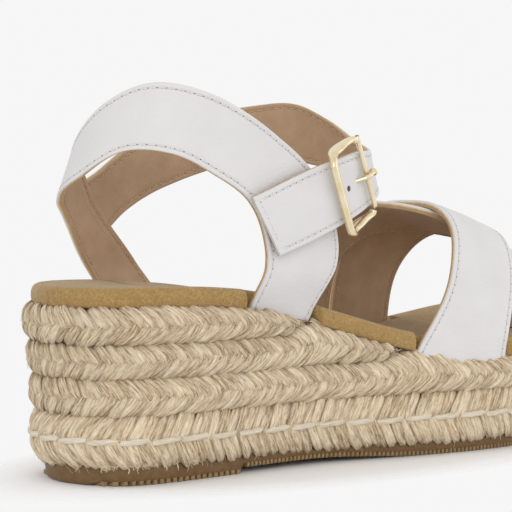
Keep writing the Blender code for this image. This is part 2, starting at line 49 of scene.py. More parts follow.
# The sole, as in the CAD model
LENGTH = 245 * MM
HEEL_X = -0.5 * LENGTH
HEEL_HALF_WIDTH = 31.5 * MM
WAIST_HALF_WIDTH = 32 * MM
BALL_HALF_WIDTH = 44 * MM
OUTSOLE_TOP = 6.5 * MM
OUTSOLE_THINNER_IN_FRONT = 1.2 * MM
OUTSOLE_INSET = 6.6 * MM
SEAM_3_4 = 22.5 * MM
SEAM_2_3 = 34.2 * MM
SEAM_1_2 = 45.2 * MM
HEEL_BLOCK_END = HEEL_X + 62 * MM
SHANK_LIFT = 2 * MM
TOE_SPRING = 6 * MM
HEEL_ROW_END = -37 * MM
SECOND_ROW_END = 3 * MM
FOOTBED_INSET = 2.8 * MM
FOOTBED_NOTCH = 7.2 * MM
VAMP_FOOT_INSET = 8.9 * MM

# The straps and the buckle, as in the CAD model
GAP = 0.3 * MM
LINING = 1.0 * MM
LEATHER = 1.0 * MM
LAYER = LINING + GAP + LEATHER
TAB_THICKNESS = 0.6 * MM
ANKLE_X = -50 * MM
ANKLE_HALF_LENGTH = 61 * MM
ANKLE_HALF_WIDTH = 30 * MM
ANKLE_HALF_WIDTH_AT_SEAT = 24.5 * MM
ANKLE_LEAN_FROM = 88 * MM
ANKLE_LEAN = 0.42
STRAP_FOOT_DEPTH = 7 * MM
BUCKLE_TURN = 61.0
BUCKLE_HEIGHT = 93.4 * MM
BUCKLE_TILT = math.radians(26)
FRAME_HALF_HEIGHT = 13.9 * MM
REAR_BAR_AT = 9.0 * MM
FRONT_BAR_AT = 9.6 * MM
REAR_BAR_LIFT = 7.8 * MM
FRONT_BAR_LIFT = 6.9 * MM
FRAME_WIRE = 1.4 * MM
BAR_RADIUS = 0.9 * MM
PRONG_RADIUS = 0.75 * MM
ANKLE_STRAP_LIFT = LAYER + GAP + TAB_THICKNESS + GAP
CENTRE_BAR_LIFT = LAYER - BAR_RADIUS

# The visible straps' own measures, finer than the CAD model's
LINING_TOP = 1.05 * MM
LEATHER_BOTTOM = 1.25 * MM
STITCH_INSET = 1.95 * MM
PRONG_SLOT = (-7.3 * MM, -2.6 * MM)  # its ends on the buckle's X axis
PRONG_SLOT_RADIUS = 1.0 * MM
SPARE_HOLE_AT = 1.15 * MM  # its middle on the same axis
SPARE_HOLE_RADIUS = 1.05 * MM


# ---- shared geometry


def smoothstep(low, high, value):
    share = np.clip((np.asarray(value, float) - low) / (high - low), 0.0, 1.0)
    return share * share * (3.0 - 2.0 * share)


def at_places(wanted, run, points):
    """The columns of points, interpolated from their run to the wanted places."""
    return np.stack([np.interp(wanted, run, column) for column in points.T], axis=-1)


def circle_angles(count):
    return np.linspace(0, 2 * math.pi, count, endpoint=False)


def catmull(points, steps, closed=False):
    """The smooth curve through the points, with steps places on each span."""
    knots = np.asarray(points, float)
    if closed:
        knots = np.vstack([knots[-1:], knots, knots[:2]])
    else:
        knots = np.vstack([2 * knots[:1] - knots[1:2], knots, 2 * knots[-1:] - knots[-2:-1]])
    local = np.arange(steps)[:, None] / steps
    runs = []
    for a, b, c, d in zip(knots, knots[1:], knots[2:], knots[3:]):
        runs.append(0.5 * (
            2 * b + (c - a) * local + (2 * a - 5 * b + 4 * c - d) * local ** 2
            + (3 * b - 3 * c + d - a) * local ** 3
        ))
    if not closed:
        runs.append(knots[-2:-1])
    return np.vstack(runs)


def lengths_along(points):
    return np.concatenate([[0.0], np.cumsum(np.linalg.norm(np.diff(points, axis=0), axis=1))])


def outline():
    """The widest outline of the sole, from the back of the heel round the outer side and the toe."""
    heel, waist, ball = HEEL_HALF_WIDTH, WAIST_HALF_WIDTH, BALL_HALF_WIDTH
    points = [
        (0, 0), (0.016, -0.48 * heel), (0.057, -0.86 * heel), (0.13, -heel), (0.25, -heel),
        (0.39, -waist), (0.53, -0.5 * (waist + ball) - 0.001), (0.65, -ball), (0.755, -0.98 * ball),
        (0.865, -0.78 * ball), (0.95, -0.42 * ball), (1.001, 0.006), (0.984, 0.028), (0.906, 0.040),
        (0.80, 0.0442), (0.70, 0.0432), (0.57, 0.0365), (0.43, 0.030), (0.25, 0.97 * heel),
        (0.13, heel), (0.057, 0.86 * heel), (0.016, 0.48 * heel),
    ]
    return [(HEEL_X + x * LENGTH, y) for x, y in points]


RIM_STEPS = 1440
_fine = catmull(outline(), 80, closed=True)
_fine = np.vstack([_fine, _fine[:1]])
_run = lengths_along(_fine)
PERIMETER = _run[-1]
RIM_S = np.linspace(0, PERIMETER, RIM_STEPS + 1)
RIM = at_places(RIM_S, _run, _fine)
_turn = np.roll(RIM[:-1], -3, axis=0) - np.roll(RIM[:-1], 3, axis=0)
_turn = np.vstack([_turn, _turn[:1]])
RIM_OUT = np.stack([_turn[:, 1], -_turn[:, 0]], axis=1)
RIM_OUT /= np.linalg.norm(RIM_OUT, axis=1)[:, None]
_toe = int(np.argmax(RIM[:, 0]))


def rim(s):
    """The rim's points and outward normals at distances s along it."""
    s = np.mod(s, PERIMETER)
    point = at_places(s, RIM_S, RIM)
    out = at_places(s, RIM_S, RIM_OUT)
    return point, out / np.linalg.norm(out, axis=-1, keepdims=True)


def outward_at(s):
    """The rim's outward directions at distances s, as level vectors with a z of 0."""
    _, normal = rim(s)
    return np.concatenate([normal, np.zeros((len(s), 1))], axis=1)


def half_width(x, side):
    """Half the width of the sole at x, on the outer side (-1) or the inner side (1)."""
    half = RIM[:_toe + 1] if side < 0 else RIM[_toe:][::-1]
    return np.interp(x, half[:, 0], half[:, 1]) * side


_seat = catmull([
    (-0.125, 0.0560), (-0.095, 0.0560), (-0.070, 0.0548), (-0.045, 0.0515), (-0.020, 0.0445),
    (0.005, 0.0375), (0.035, 0.0322), (0.065, 0.0350), (0.095, 0.0392), (0.125, 0.0425),
], 40)


def seat(x):
    """The height of the top of the wedge."""
    return np.interp(x, _seat[:, 0], _seat[:, 1])


def toe_spring(x):
    return TOE_SPRING * smoothstep(75 * MM, 125 * MM, x)


def ground_lift(x):
    behind = smoothstep(HEEL_BLOCK_END, HEEL_BLOCK_END + 1 * MM, x)
    ahead = 1 - smoothstep(-30 * MM, 20 * MM, x)
    return SHANK_LIFT * behind * ahead + toe_spring(x)


def outsole_top(x):
    return OUTSOLE_TOP - OUTSOLE_THINNER_IN_FRONT * smoothstep(-60 * MM, 0.0, x) + toe_spring(x)


def seam_1_2(x):
    """The line between the first and the second braid, which rises where the first braid ends."""
    rise = smoothstep(HEEL_ROW_END - 9 * MM, HEEL_ROW_END + 6 * MM, x)
    return SEAM_1_2 + (seat(x) - SEAM_1_2) * rise


def seam_2_3(x):
    rise = smoothstep(SECOND_ROW_END - 12 * MM, SECOND_ROW_END + 7 * MM, x)
    return np.minimum(SEAM_2_3 + (seat(x) - SEAM_2_3) * rise, seam_1_2(x))


def seam_3_4(x):
    return SEAM_3_4 + 0.0 * np.asarray(x)


# Where the straps go down beside the footbed, as ranges of x on each side
STRAP_FEET = {
    -1: [(-60.6 * MM, -30.3 * MM), (8 * MM, 48.5 * MM), (69 * MM, 99.5 * MM)],
    1: [(-81 * MM, -49 * MM), (-5.5 * MM, 27.5 * MM), (30 * MM, 66.5 * MM)],
}


def near_strap(x, y):
    share = np.zeros_like(x)
    ramp = 0.8 * MM
    for side, ranges in STRAP_FEET.items():
        for low, high in ranges:
            here = smoothstep(low - ramp, low, x) * (1 - smoothstep(high, high + ramp, x))
            share = np.maximum(share, here * (np.sign(y) == side))
    return share


# ---- meshes


def add_object(name, data):
    """A new object in the scene, for a mesh, a lamp or a camera."""
    made = bpy.data.objects.new(name, data)
    bpy.context.scene.collection.objects.link(made)
    return made


def make_object(name, vertices, faces, materials, body=BODY, replaces=(), slot=None,
                material_ids=None, uv=None, tone_and_shade=None):
    """A visible piece from arrays. uv is given per vertex, and the colour shift is one number per vertex; for
    jute strands it also carries painted shade.
    """
    mesh = bpy.data.meshes.new(name)
    mesh.from_pydata(np.asarray(vertices).tolist(), [], [list(face) for face in faces])
    mesh.update()
    for material in materials:
        mesh.materials.append(material)
    if material_ids is not None:
        mesh.polygons.foreach_set("material_index", np.asarray(material_ids, np.int32))
    corners = np.empty(len(mesh.loops), np.int32)
    mesh.loops.foreach_get("vertex_index", corners)
    if uv is not None:
        layer = mesh.uv_layers.new(name="fibre")
        layer.data.foreach_set("uv", np.asarray(uv, np.float32)[corners].ravel())
    if tone_and_shade is not None:
        layer = mesh.attributes.new("tone_and_shade", "FLOAT", "POINT")
        layer.data.foreach_set("value", np.asarray(tone_and_shade, np.float32))
    mesh.shade_smooth()
    made = add_object(name, mesh)
    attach(made, body)
    if replaces:
        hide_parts(*replaces)
    return made


def grid_faces(rows, columns, start=0, wrap=False):
    """Quads between rows of columns vertices. A wrapped grid closes across its columns."""
    faces = []
    width = columns if wrap else columns - 1
    for row in range(rows - 1):
        for column in range(width):
            after = (column + 1) % columns
            a = start + row * columns
            b = a + columns
            faces.append((a + column, a + after, b + after, b + column))
    return faces


class Tubes:
    """Many closed tubes gathered in one mesh."""

    def __init__(self):
        self.vertices, self.faces, self.uv, self.tone_and_shade = [], [], [], []
        self.count = 0

    def add(self, rings, tone_and_shade=0.0, uv=None):
        """rings is an array of (ring, side, 3)."""
        rings = np.asarray(rings)
        count, sides = rings.shape[:2]
        self.vertices.append(rings.reshape(-1, 3))
        self.faces += grid_faces(count, sides, self.count, wrap=True)
        self.faces.append(tuple(self.count + side for side in reversed(range(sides))))
        last = self.count + (count - 1) * sides
        self.faces.append(tuple(last + side for side in range(sides)))
        self.tone_and_shade.append(np.broadcast_to(tone_and_shade, (count * sides,)))
        if uv is None:
            uv = np.zeros((count * sides, 2))
        self.uv.append(np.asarray(uv).reshape(-1, 2))
        self.count += count * sides

    def build(self, name, materials, **more):
        return make_object(
            name, np.vstack(self.vertices), self.faces, materials,
            uv=np.vstack(self.uv), tone_and_shade=np.concatenate(self.tone_and_shade), **more)


def frames_along(path, up):
    """Unit vectors along a path, and two across it: side, and up made square to the path."""
    path = np.asarray(path, float)
    along = np.gradient(path, axis=0)
    along /= np.linalg.norm(along, axis=1)[:, None] + 1e-12
    up = np.broadcast_to(np.asarray(up, float), path.shape)
    up = up - along * np.sum(up * along, axis=1)[:, None]
    up /= np.linalg.norm(up, axis=1)[:, None] + 1e-12
    return along, np.cross(along, up), up


def tube(path, up, across, thick, sides=8, roll=0.0):
    """Rings of an oval tube: across and thick are its half widths, one number or one for each point."""
    _, side, up = frames_along(path, up)
    angle = circle_angles(sides)
    across = np.broadcast_to(across, (len(path),))[:, None, None]
    thick = np.broadcast_to(thick, (len(path),))[:, None, None]
    cos, sin = np.cos(angle)[None, :, None], np.sin(angle)[None, :, None]
    turned_side = side * math.cos(roll) + up * math.sin(roll)
    turned_up = up * math.cos(roll) - side * math.sin(roll)
    centre = np.asarray(path)[:, None, :]
    return centre + turned_side[:, None, :] * across * cos + turned_up[:, None, :] * thick * sin


def ridged(path, rings, ridge):
    """Rings moved in or out from their path by a factor at each of their points."""
    centre = path[:, None, :]
    return centre + (rings - centre) * ridge[:, :, None]


# ---- materials


class Nodes:
    """Short names for building a node material."""

    def __init__(self, name):
        self.material = bpy.data.materials.new(name)
        self.material.use_nodes = True
        self.tree = self.material.node_tree
        self.shader = self.tree.nodes["Principled BSDF"]

    def put(self, socket, value):
        """Gives a socket another node's output, a colour or a plain value."""
        if hasattr(value, "is_output"):
            self.tree.links.new(value, socket)
        elif socket.type == "RGBA":
            socket.default_value = (*value, 1.0)
        else:
            socket.default_value = value

    def set_inputs(self, node, inputs):
        for name, value in inputs.items():
            self.put(node.inputs[name.replace("_", " ")], value)

    def add(self, kind, **inputs):
        node = self.tree.nodes.new(kind)
        self.set_inputs(node, inputs)
        return node

    def place(self):
        return self.add("ShaderNodeTexCoord").outputs["Object"]

    def uv(self):
        return self.add("ShaderNodeUVMap").outputs["UV"]

    def stretched(self, vector, scale):
        return self.add("ShaderNodeMapping", Vector=vector, Scale=scale).outputs["Vector"]

    def noise(self, vector, scale, detail=3.0, rough=0.55):
        node = self.add("ShaderNodeTexNoise", Vector=vector, Scale=scale, Detail=detail, Roughness=rough)
        return node.outputs["Fac"]

    def ramp(self, value, stops):
        """A colour ramp from (place, linear colour) pairs."""
        node = self.add("ShaderNodeValToRGB", Fac=value)
        ramp = node.color_ramp
        while len(ramp.elements) < len(stops):
            ramp.elements.new(0.5)
        for element, (place, colour) in zip(ramp.elements, stops):
            element.position = place
            element.color = (*colour, 1.0)
        return node.outputs["Color"]

    def blend(self, share, first, second):
        """Two colours mixed. A Mix node keeps its colour sockets at these indices."""
        node = self.tree.nodes.new("ShaderNodeMix")
        node.data_type = "RGBA"
        for index, value in ((0, share), (6, first), (7, second)):
            self.put(node.inputs[index], value)
        return node.outputs[2]

    def sum(self, first, second, share=1.0):
        """first plus share times second."""
        node = self.tree.nodes.new("ShaderNodeMath")
        node.operation = "MULTIPLY_ADD"
        for socket, value in zip(node.inputs, (second, share, first)):
            self.put(socket, value)
        return node.outputs[0]

    def bump(self, height, strength, distance):
        node = self.add("ShaderNodeBump", Height=height, Strength=strength, Distance=distance)
        self.put(self.shader.inputs["Normal"], node.outputs["Normal"])

    def finish(self, colour, roughness, **values):
        self.set_inputs(self.shader, {"Base Color": colour, "Roughness": roughness, **values})
        return self.material


def grey(value):
    return (value, value, value)


def mottled(name, dark, light, scale, roughness, spread=0.15, stretch=1.0, detail=2.0, fine=0.55,
            bump=0.0, depth=0.1 * MM):
    """A plain finish that wavers between two colours."""
    n = Nodes(name)
    mottle = n.noise(n.stretched(n.place(), (1.0, 1.0, stretch)), scale, detail, fine)
    if bump:
        n.bump(mottle, bump, depth)
    return n.finish(n.ramp(mottle, [(0.5 - spread, dark), (0.5 + spread, light)]), roughness)


def white_leather():
    n = Nodes("white leather")
    place = n.place()
    grain = n.add("ShaderNodeTexVoronoi", Vector=place, Scale=1500.0)
    creases = n.noise(n.stretched(place, (1.0, 1.0, 3.0)), 320.0, 4.0)
    broad = n.noise(place, 60.0, 2.0)
    height = n.sum(creases, grain.outputs["Distance"], 0.55)
    n.bump(height, 0.42, 0.28 * MM)
    colour = n.ramp(broad, [(0.3, (0.675, 0.655, 0.655)), (0.7, (0.715, 0.695, 0.693))])
    rough = n.ramp(creases, [(0.3, grey(0.46)), (0.7, grey(0.60))])
    return n.finish(colour, rough, Specular_IOR_Level=0.4)


def lining_leather():
    n = Nodes("taupe lining")
    place = n.place()
    fine = n.noise(place, 2200.0, 3.0)
    cloudy = n.noise(place, 140.0, 3.0)
    n.bump(fine, 0.35, 0.18 * MM)
    shade = n.ramp(cloudy, [(0.3, (0.405, 0.268, 0.168)), (0.7, (0.490, 0.334, 0.214))])
    colour = n.blend(n.ramp(fine, [(0.35, grey(0.0)), (0.65, grey(0.35))]), shade, (0.555, 0.395, 0.262))
    return n.finish(colour, 0.78, Specular_IOR_Level=0.25, Sheen_Weight=0.12)


def edge_paint():
    return mottled("edge paint", (0.50, 0.33, 0.13), (0.66, 0.47, 0.21), 700.0, 0.5,
                   spread=0.2, detail=3.0, bump=0.3, depth=0.12 * MM)


def thread(name, dark, light):
    return mottled(name, dark, light, 2600.0, 0.75, stretch=1.6, bump=0.4)


def jute(name, dark, middle, light):
    """Fibre streaks run along u, the length of a strand in millimetres. A per-vertex attribute shifts each
    strand's colour at random and also carries painted shade that darkens the strands' ends.
    """
    n = Nodes(name)
    uv = n.uv()
    streaks = n.noise(n.stretched(uv, (0.10, 1.5, 1.0)), 1.6, 4.0, 0.75)
    fine = n.noise(n.stretched(uv, (0.22, 3.6, 1.0)), 1.9, 4.0, 0.7)
    tone_and_shade = n.add("ShaderNodeAttribute")
    tone_and_shade.attribute_name = "tone_and_shade"
    both = n.sum(streaks, fine, 0.45)
    shifted = n.sum(both, tone_and_shade.outputs["Fac"], 0.055)
    colour = n.ramp(shifted, [(0.56, dark), (0.72, middle), (0.90, light)])
    n.bump(n.sum(streaks, fine, 0.8), 0.9, 0.5 * MM)
    return n.finish(colour, 0.9, Specular_IOR_Level=0.2, Sheen_Weight=0.15)


def suede():
    n = Nodes("suede")
    place = n.place()
    nap = n.noise(place, 1300.0, 4.0, 0.7)
    brushed = n.noise(n.stretched(place, (1.0, 1.4, 2.4)), 210.0, 4.0, 0.6)
    broad = n.noise(place, 38.0, 2.0)
    shade = n.ramp(nap, [
        (0.30, (0.210, 0.122, 0.040)), (0.52, (0.385, 0.244, 0.088)), (0.75, (0.540, 0.362, 0.150)),
    ])
    shade = n.blend(n.ramp(brushed, [(0.35, grey(0.0)), (0.7, grey(0.5))]), shade, (0.265, 0.163, 0.056))
    colour = n.blend(n.ramp(broad, [(0.35, grey(0.0)), (0.7, grey(0.35))]), shade, (0.44, 0.29, 0.12))
    n.bump(n.sum(nap, brushed, 0.6), 0.55, 0.3 * MM)
    return n.finish(colour, 0.98, Specular_IOR_Level=0.1, Sheen_Weight=0.25, Sheen_Roughness=0.5)


def rubber(name, dark, light):
    n = Nodes(name)
    place = n.place()
    mottle = n.noise(place, 500.0, 4.0)
    drag = n.noise(n.stretched(place, (0.3, 0.3, 3.0)), 240.0, 3.0)
    colour = n.ramp(mottle, [(0.3, dark), (0.7, light)])
    n.bump(n.sum(mottle, drag, 0.5), 0.25, 0.15 * MM)
    return n.finish(colour, n.ramp(drag, [(0.3, grey(0.42)), (0.7, grey(0.6))]), Specular_IOR_Level=0.35)


def gold():
    n = Nodes("pale gold")
    place = n.place()
    wear = n.noise(place, 900.0, 3.0)
    cloud = n.noise(place, 180.0, 2.0)
    colour = n.ramp(cloud, [(0.3, (0.78, 0.65, 0.41)), (0.7, (0.88, 0.77, 0.55))])
    n.bump(wear, 0.06, 0.05 * MM)
    return n.finish(colour, n.ramp(wear, [(0.35, grey(0.14)), (0.7, grey(0.26))]), Metallic=1.0)


def board():
    return mottled("insole board", (0.22, 0.13, 0.06), (0.36, 0.24, 0.13), 900.0, 0.9,
                   detail=4.0, fine=0.7, bump=0.3, depth=0.2 * MM)


def foam(name, dark, light):
    n = Nodes(name)
    cells = n.add("ShaderNodeTexVoronoi", Vector=n.place(), Scale=1400.0).outputs["Distance"]
    n.bump(cells, 0.4, 0.3 * MM)
    return n.finish(n.ramp(cells, [(0.1, dark), (0.6, light)]), 0.95)


# Dark grey-brown for the insides of holes: painted shade where the holes are deep.
def hole_painted_shade():
    return mottled("painted shade in needle holes", (0.16, 0.125, 0.10), (0.27, 0.225, 0.19), 3000.0, 0.9)


WHITE = white_leather()
TAUPE = lining_leather()
PAINT = edge_paint()
WHITE_THREAD = thread("white thread", (0.60, 0.57, 0.55), (0.80, 0.78, 0.76))
TAN_THREAD = thread("tan thread", (0.42, 0.29, 0.17), (0.66, 0.50, 0.32))
JUTE = jute("jute", (0.300, 0.190, 0.090), (0.735, 0.582, 0.392), (0.960, 0.840, 0.645))
# a dark copy of the jute: painted shade for the bottom of the gaps between strands
JUTE_PAINTED_SHADE = jute("jute with painted shade in the gaps", (0.085, 0.045, 0.018), (0.170, 0.100, 0.045), (0.280, 0.180, 0.090))
CORD = jute("cream cord", (0.66, 0.53, 0.37), (0.90, 0.79, 0.62), (0.96, 0.89, 0.77))
SUEDE = suede()
RUBBER = rubber("brown rubber", (0.150, 0.082, 0.030), (0.205, 0.118, 0.048))
# a lighter copy of the same rubber for the ribs: painted highlight where they catch the light
RIB_RUBBER_PAINTED_LIGHT = rubber("brown rubber ribs with painted highlight", (0.26, 0.165, 0.075), (0.36, 0.245, 0.125))
GOLD = gold()
HOLE_PAINTED_SHADE = hole_painted_shade()


# ---- the braids

# Each braid from the top: its node, how far its middle lies inside the rim, its seams and its chevrons' way
BRAIDS = [
    ("jute_row_1", 0.0, seam_1_2, seat, 1),
    ("jute_row_2", 1.5 * MM, seam_2_3, seam_1_2, 1),
    ("jute_row_3", 2.2 * MM, seam_3_4, seam_2_3, 1),
    ("jute_row_4", 2.8 * MM, outsole_top, seam_3_4, -1),
]
BRAID_SINK = 1.7 * MM
STRAND_PITCH = 3.7 * MM
STRAND_LEAN = 7.6 * MM
STRAND_WIDTH = 1.95 * MM
STRAND_THICKNESS = 0.95 * MM
STRAND_SIDES = 22
LEAST_ROW = 3.2 * MM
USUAL_ROW = 11 * MM
HAIRS = 7000
HAIR_RADIUS = 0.07 * MM
FRAYED_FIBRES = 30
FRAYED_RADIUS = 0.09 * MM
CORD_ROW = 3
CORD_STITCH_PITCH = 11.6 * MM
CORD_STITCH_LENGTH = 10.6 * MM
CORD_HALF_WIDTH = 0.95 * MM
CORD_HALF_THICKNESS = 0.82 * MM
CORD_SIDES = 14


def braid_place(row, s, v, out):
    """A point on a braid: s along the rim, v from its lower seam (0) to its upper (1), out from its face."""
    _, bulge, lower, upper, _ = BRAIDS[row]
    point, normal = rim(s)
    low, high = lower(point[..., 0]), upper(point[..., 0])
    inset = bulge + BRAID_SINK * np.abs(2 * v - 1) ** 2.6 - out
    flat = point - normal * inset[..., None]
    return np.concatenate([flat, (low + v * (high - low))[..., None]], axis=-1)


def row_height(row, s):
    point, _ = rim(s)
    return BRAIDS[row][3](point[..., 0]) - BRAIDS[row][2](point[..., 0])


def strand_path(row, start, half, way):
    """The middle line of one strand of a half row: from under the middle, over the bulge, to the seam."""
    t = np.linspace(0, 1, 12)
    height = float(row_height(row, start))
    lean = STRAND_LEAN * min(1.0, height / USUAL_ROW) * random.uniform(0.88, 1.12)
    s = start - way * lean * t + way * 0.9 * MM * np.sin(math.pi * t)
    v = 0.5 + half * (random.uniform(-0.16, -0.07) + 0.63 * t)
    rise = np.sin(math.pi * np.clip(0.13 + 0.87 * t, 0, 1) ** 0.78)
    out = (-1.95 + 1.5 * rise ** 0.75 + random.uniform(-0.22, 0.22)) * MM
    return t, s, v, out


def strand(row, start, half, way):
    """One flattened strand of loosely twisted yarn."""
    t, s, v, out = strand_path(row, start, half, way)
    path = braid_place(row, s, np.clip(v, -0.02, 1.02), out)
    up = outward_at(s)
    up[:, 2] = 0.5 * half * (2 * t - 0.6)
    share = min(1.5, float(row_height(row, start)) / USUAL_ROW)
    size = random.uniform(0.86, 1.14) * (0.40 + 0.60 * share)
    taper = 0.48 + 0.52 * smoothstep(-0.12, 0.36, t) * (1 - 0.35 * smoothstep(0.72, 1.0, t))
    rings = tube(path, up, STRAND_WIDTH * size * taper, STRAND_THICKNESS * min(size, 1.1) * taper,
                 STRAND_SIDES, roll=way * half * random.uniform(0.10, 0.40))
    # ridges where the yarn's fibres bunch together
    angle = circle_angles(STRAND_SIDES)[None, :]
    phase = random.uniform(0, 6.3, 2)
    ridge = (
        1 + 0.09 * np.sin(6 * angle + phase[0] + 4.0 * t[:, None])
        + 0.06 * np.sin(9 * angle + phase[1] - 3.0 * t[:, None])
        + 0.05 * random.standard_normal((1, STRAND_SIDES)))
    length = lengths_along(path)[:, None] / MM
    around = (angle / (2 * math.pi)) * 8.0
    offset = random.uniform(0, 400, 2)
    uv = np.stack(np.broadcast_arrays(length + offset[0], around + offset[1]), axis=-1)
    # each strand's random colour shift, plus painted shade that darkens both its ends where it dives under its
    # neighbours and into the seam
    tone_and_shade = random.uniform(-1.0, 1.0) - 1.9 * np.exp(-(t / 0.13) ** 2) - 1.3 * np.exp(-((1 - t) / 0.12) ** 2)
    return ridged(path, rings, ridge), uv, np.repeat(tone_and_shade, STRAND_SIDES)


def hair(row, start, half, way):
    """A single fibre lying on a strand, with one end standing a little off it."""
    t, s, v, out = strand_path(row, start + random.uniform(-2, 2) * MM, half, way)
    first = random.integers(0, 6)
    last = min(len(t), first + int(random.integers(5, 8)))
    piece = slice(first, last, 2)
    local = (t[piece] - t[first]) / (t[last - 1] - t[first])
    lift = (STRAND_THICKNESS * random.uniform(0.75, 1.0)
            + random.uniform(0.0, 1.1) * MM * local ** 2 * random.choice([1, 0.5, 0.2]))
    turn = random.normal(0, 1.7) * MM
    drift = random.normal(0, 0.14)
    path = braid_place(row, s[piece] + turn * local, v[piece] + drift * local, out[piece] + lift)
    return tube(path, (0.3, 0.2, 1.0), HAIR_RADIUS, HAIR_RADIUS, 3)


def row_range(row):
    """The first and last distance along the rim that a braid follows, and whether it goes all round."""
    s = np.linspace(-PERIMETER / 2, PERIMETER / 2, 2400)
    inside = row_height(row, s) > LEAST_ROW
    if inside.all():
        return -PERIMETER / 2, PERIMETER / 2, True
    kept = s[inside & (np.abs(s) < PERIMETER * 0.45)]
    return kept.min(), kept.max(), False


ROW_RANGES = [row_range(row) for row in range(len(BRAIDS))]


def base_wall(row, tubes):
    """The bottom of the gaps behind the strands of a braid, in a dark copy of the jute that paints the shade
    there.
    """
    first, last, whole = ROW_RANGES[row]
    if not whole:
        first, last = first - 6 * MM, last + 6 * MM
    count = int((last - first) / (2 * MM))
    s = np.linspace(first, last, count)
    v = np.array([0.0, 0.0, 0.18, 0.36, 0.5, 0.64, 0.82, 1.0, 1.0])
    out = np.array([-4.6, -2.6, -2.0, -1.8, -2.2, -1.8, -2.0, -2.6, -4.6]) * MM
    grid_s, grid_v = np.meshgrid(s, v, indexing="ij")
    uv = np.stack([grid_v * 14.0, grid_s / MM], axis=-1)
    tubes.add(braid_place(row, grid_s, grid_v, out), 0.0, uv)


def braids():
    for row, (node, _, _, _, way) in enumerate(BRAIDS):
        tubes = Tubes()
        base_wall(row, tubes)
        base_faces = len(tubes.faces)
        first, last, _ = ROW_RANGES[row]
        count = int(round((last - first) / STRAND_PITCH))
        pitch = (last - first) / count
        for half in (1, -1):
            for index in range(count):
                start = first + (index + (0.5 if half > 0 else 0.0)) * pitch
                start += random.uniform(-0.35, 0.35) * MM
                if row_height(row, start) < LEAST_ROW:
                    continue
                rings, uv, tone_and_shade = strand(row, start, half, way)
                tubes.add(rings, tone_and_shade, uv)
        ids = np.zeros(len(tubes.faces), int)
        # the gap bottoms take the dark jute, which is painted shade
        ids[:base_faces] = 1
        tubes.build(
            node.replace("jute_row", "jute_braid"), [JUTE, JUTE_PAINTED_SHADE],
            replaces=(node,), slot="jute", material_ids=ids)


def loose_fibres():
    """Single fibres that stand out of the braids, and the frayed lower edge at the heel."""
    tubes = Tubes()
    for _ in range(HAIRS):
        row = int(random.choice([0, 1, 2, 3], p=[0.15, 0.21, 0.32, 0.32]))
        first, last, _ = ROW_RANGES[row]
        start = random.uniform(first, last)
        if row_height(row, start) > LEAST_ROW:
            rings = hair(row, start, int(random.choice([-1, 1])), BRAIDS[row][4])
            tubes.add(rings, random.uniform(-1.0, 2.4))
    for _ in range(FRAYED_FIBRES):
        point, normal = rim(random.uniform(12, 62) * MM)
        base = np.array([*(point - normal * 3.4 * MM), float(outsole_top(point[0])) + 0.6 * MM])
        outward = np.array([*normal, 0.0])
        sideways = np.array([-normal[1], normal[0], 0.0])
        t = np.linspace(0, 1, 9)[:, None]
        reach, curl = random.uniform(0.8, 2.4) * MM, random.uniform(-3.0, 3.0) * MM
        sag = random.uniform(0.5, 2.4) * MM
        path = base + outward * reach * t + sideways * curl * np.sin(2.2 * t)
        path = path - np.array([0, 0, 1.0]) * sag * t ** 1.5
        tubes.add(tube(path, (0.1, 0.2, 1.0), FRAYED_RADIUS, FRAYED_RADIUS, 3), random.uniform(0.2, 1.0))
    tubes.build("loose_jute_fibres", [JUTE], slot="jute")


def sole_cord():
    """The cream cord: long stitches along the middle of the bottom braid, each going in at both ends."""
    tubes = Tubes()
    count = int(round(PERIMETER / CORD_STITCH_PITCH))
    pitch = PERIMETER / count
    for index in range(count):
        start = index * pitch + random.uniform(-0.3, 0.3) * MM
        t = np.linspace(0, 1, 14)
        s = start + (t - 0.5) * (CORD_STITCH_LENGTH + random.uniform(-0.6, 0.5) * MM)
        v = 0.50 + 0.05 * (t - 0.5) + random.uniform(-0.012, 0.012)
        out = (-1.5 + 2.38 * np.sin(math.pi * np.clip(t, 0.02, 0.98)) ** 0.30) * MM
        path = braid_place(CORD_ROW, s, v, out)
        rings = tube(path, outward_at(s), CORD_HALF_WIDTH, CORD_HALF_THICKNESS, CORD_SIDES)
        angle = circle_angles(CORD_SIDES)[None, :]
        ridge = 1 + 0.13 * np.sin(3 * angle + 15.0 * t[:, None] + index)
        run = lengths_along(path)[:, None] / MM
        uv = np.stack(np.broadcast_arrays(run + index * 13.0, angle * 1.2), axis=-1)
        tubes.add(ridged(path, rings, ridge), random.uniform(-0.4, 0.6), uv)
    tubes.build("cream_cord_stitches", [CORD], replaces=("sole_stitch",), slot="cream_cord")


# ---- the outsole and the footbed


def sole_ring(inset, height, count=480, notch=False):
    """A ring of points round the sole at an inset and a height function."""
    s = np.linspace(0, PERIMETER, count, endpoint=False)
    point, out = rim(s)
    inward = np.full(count, inset)
    if notch:
        inward = inward + FOOTBED_NOTCH * near_strap(point[:, 0], point[:, 1])
    flat = point - out * inward[:, None]
    return np.concatenate([flat, height(flat[:, 0])[:, None]], axis=1)


def wall_reach(x, side):
    """How far the outsole's wall reaches from the middle line at x, on one side."""
    wall = RIM - RIM_OUT * OUTSOLE_INSET
    half = wall[:_toe + 1] if side < 0 else wall[_toe:][::-1]
    order = np.argsort(half[:, 0])
    return float(np.interp(x, half[order, 0], half[order, 1]) * side)


def ladder_faces(count, start, flip):
    """Faces across a ring that is symmetric about its first point."""
    faces = []
    for index in range(count // 2):
        near = [start + index, start + index + 1]
        far = [start + count - index - 1, start + (count - index) % count]
        corners = list(dict.fromkeys(near + far))
        if len(corners) > 2:
            faces.append(tuple(reversed(corners)) if flip else tuple(corners))
    return faces


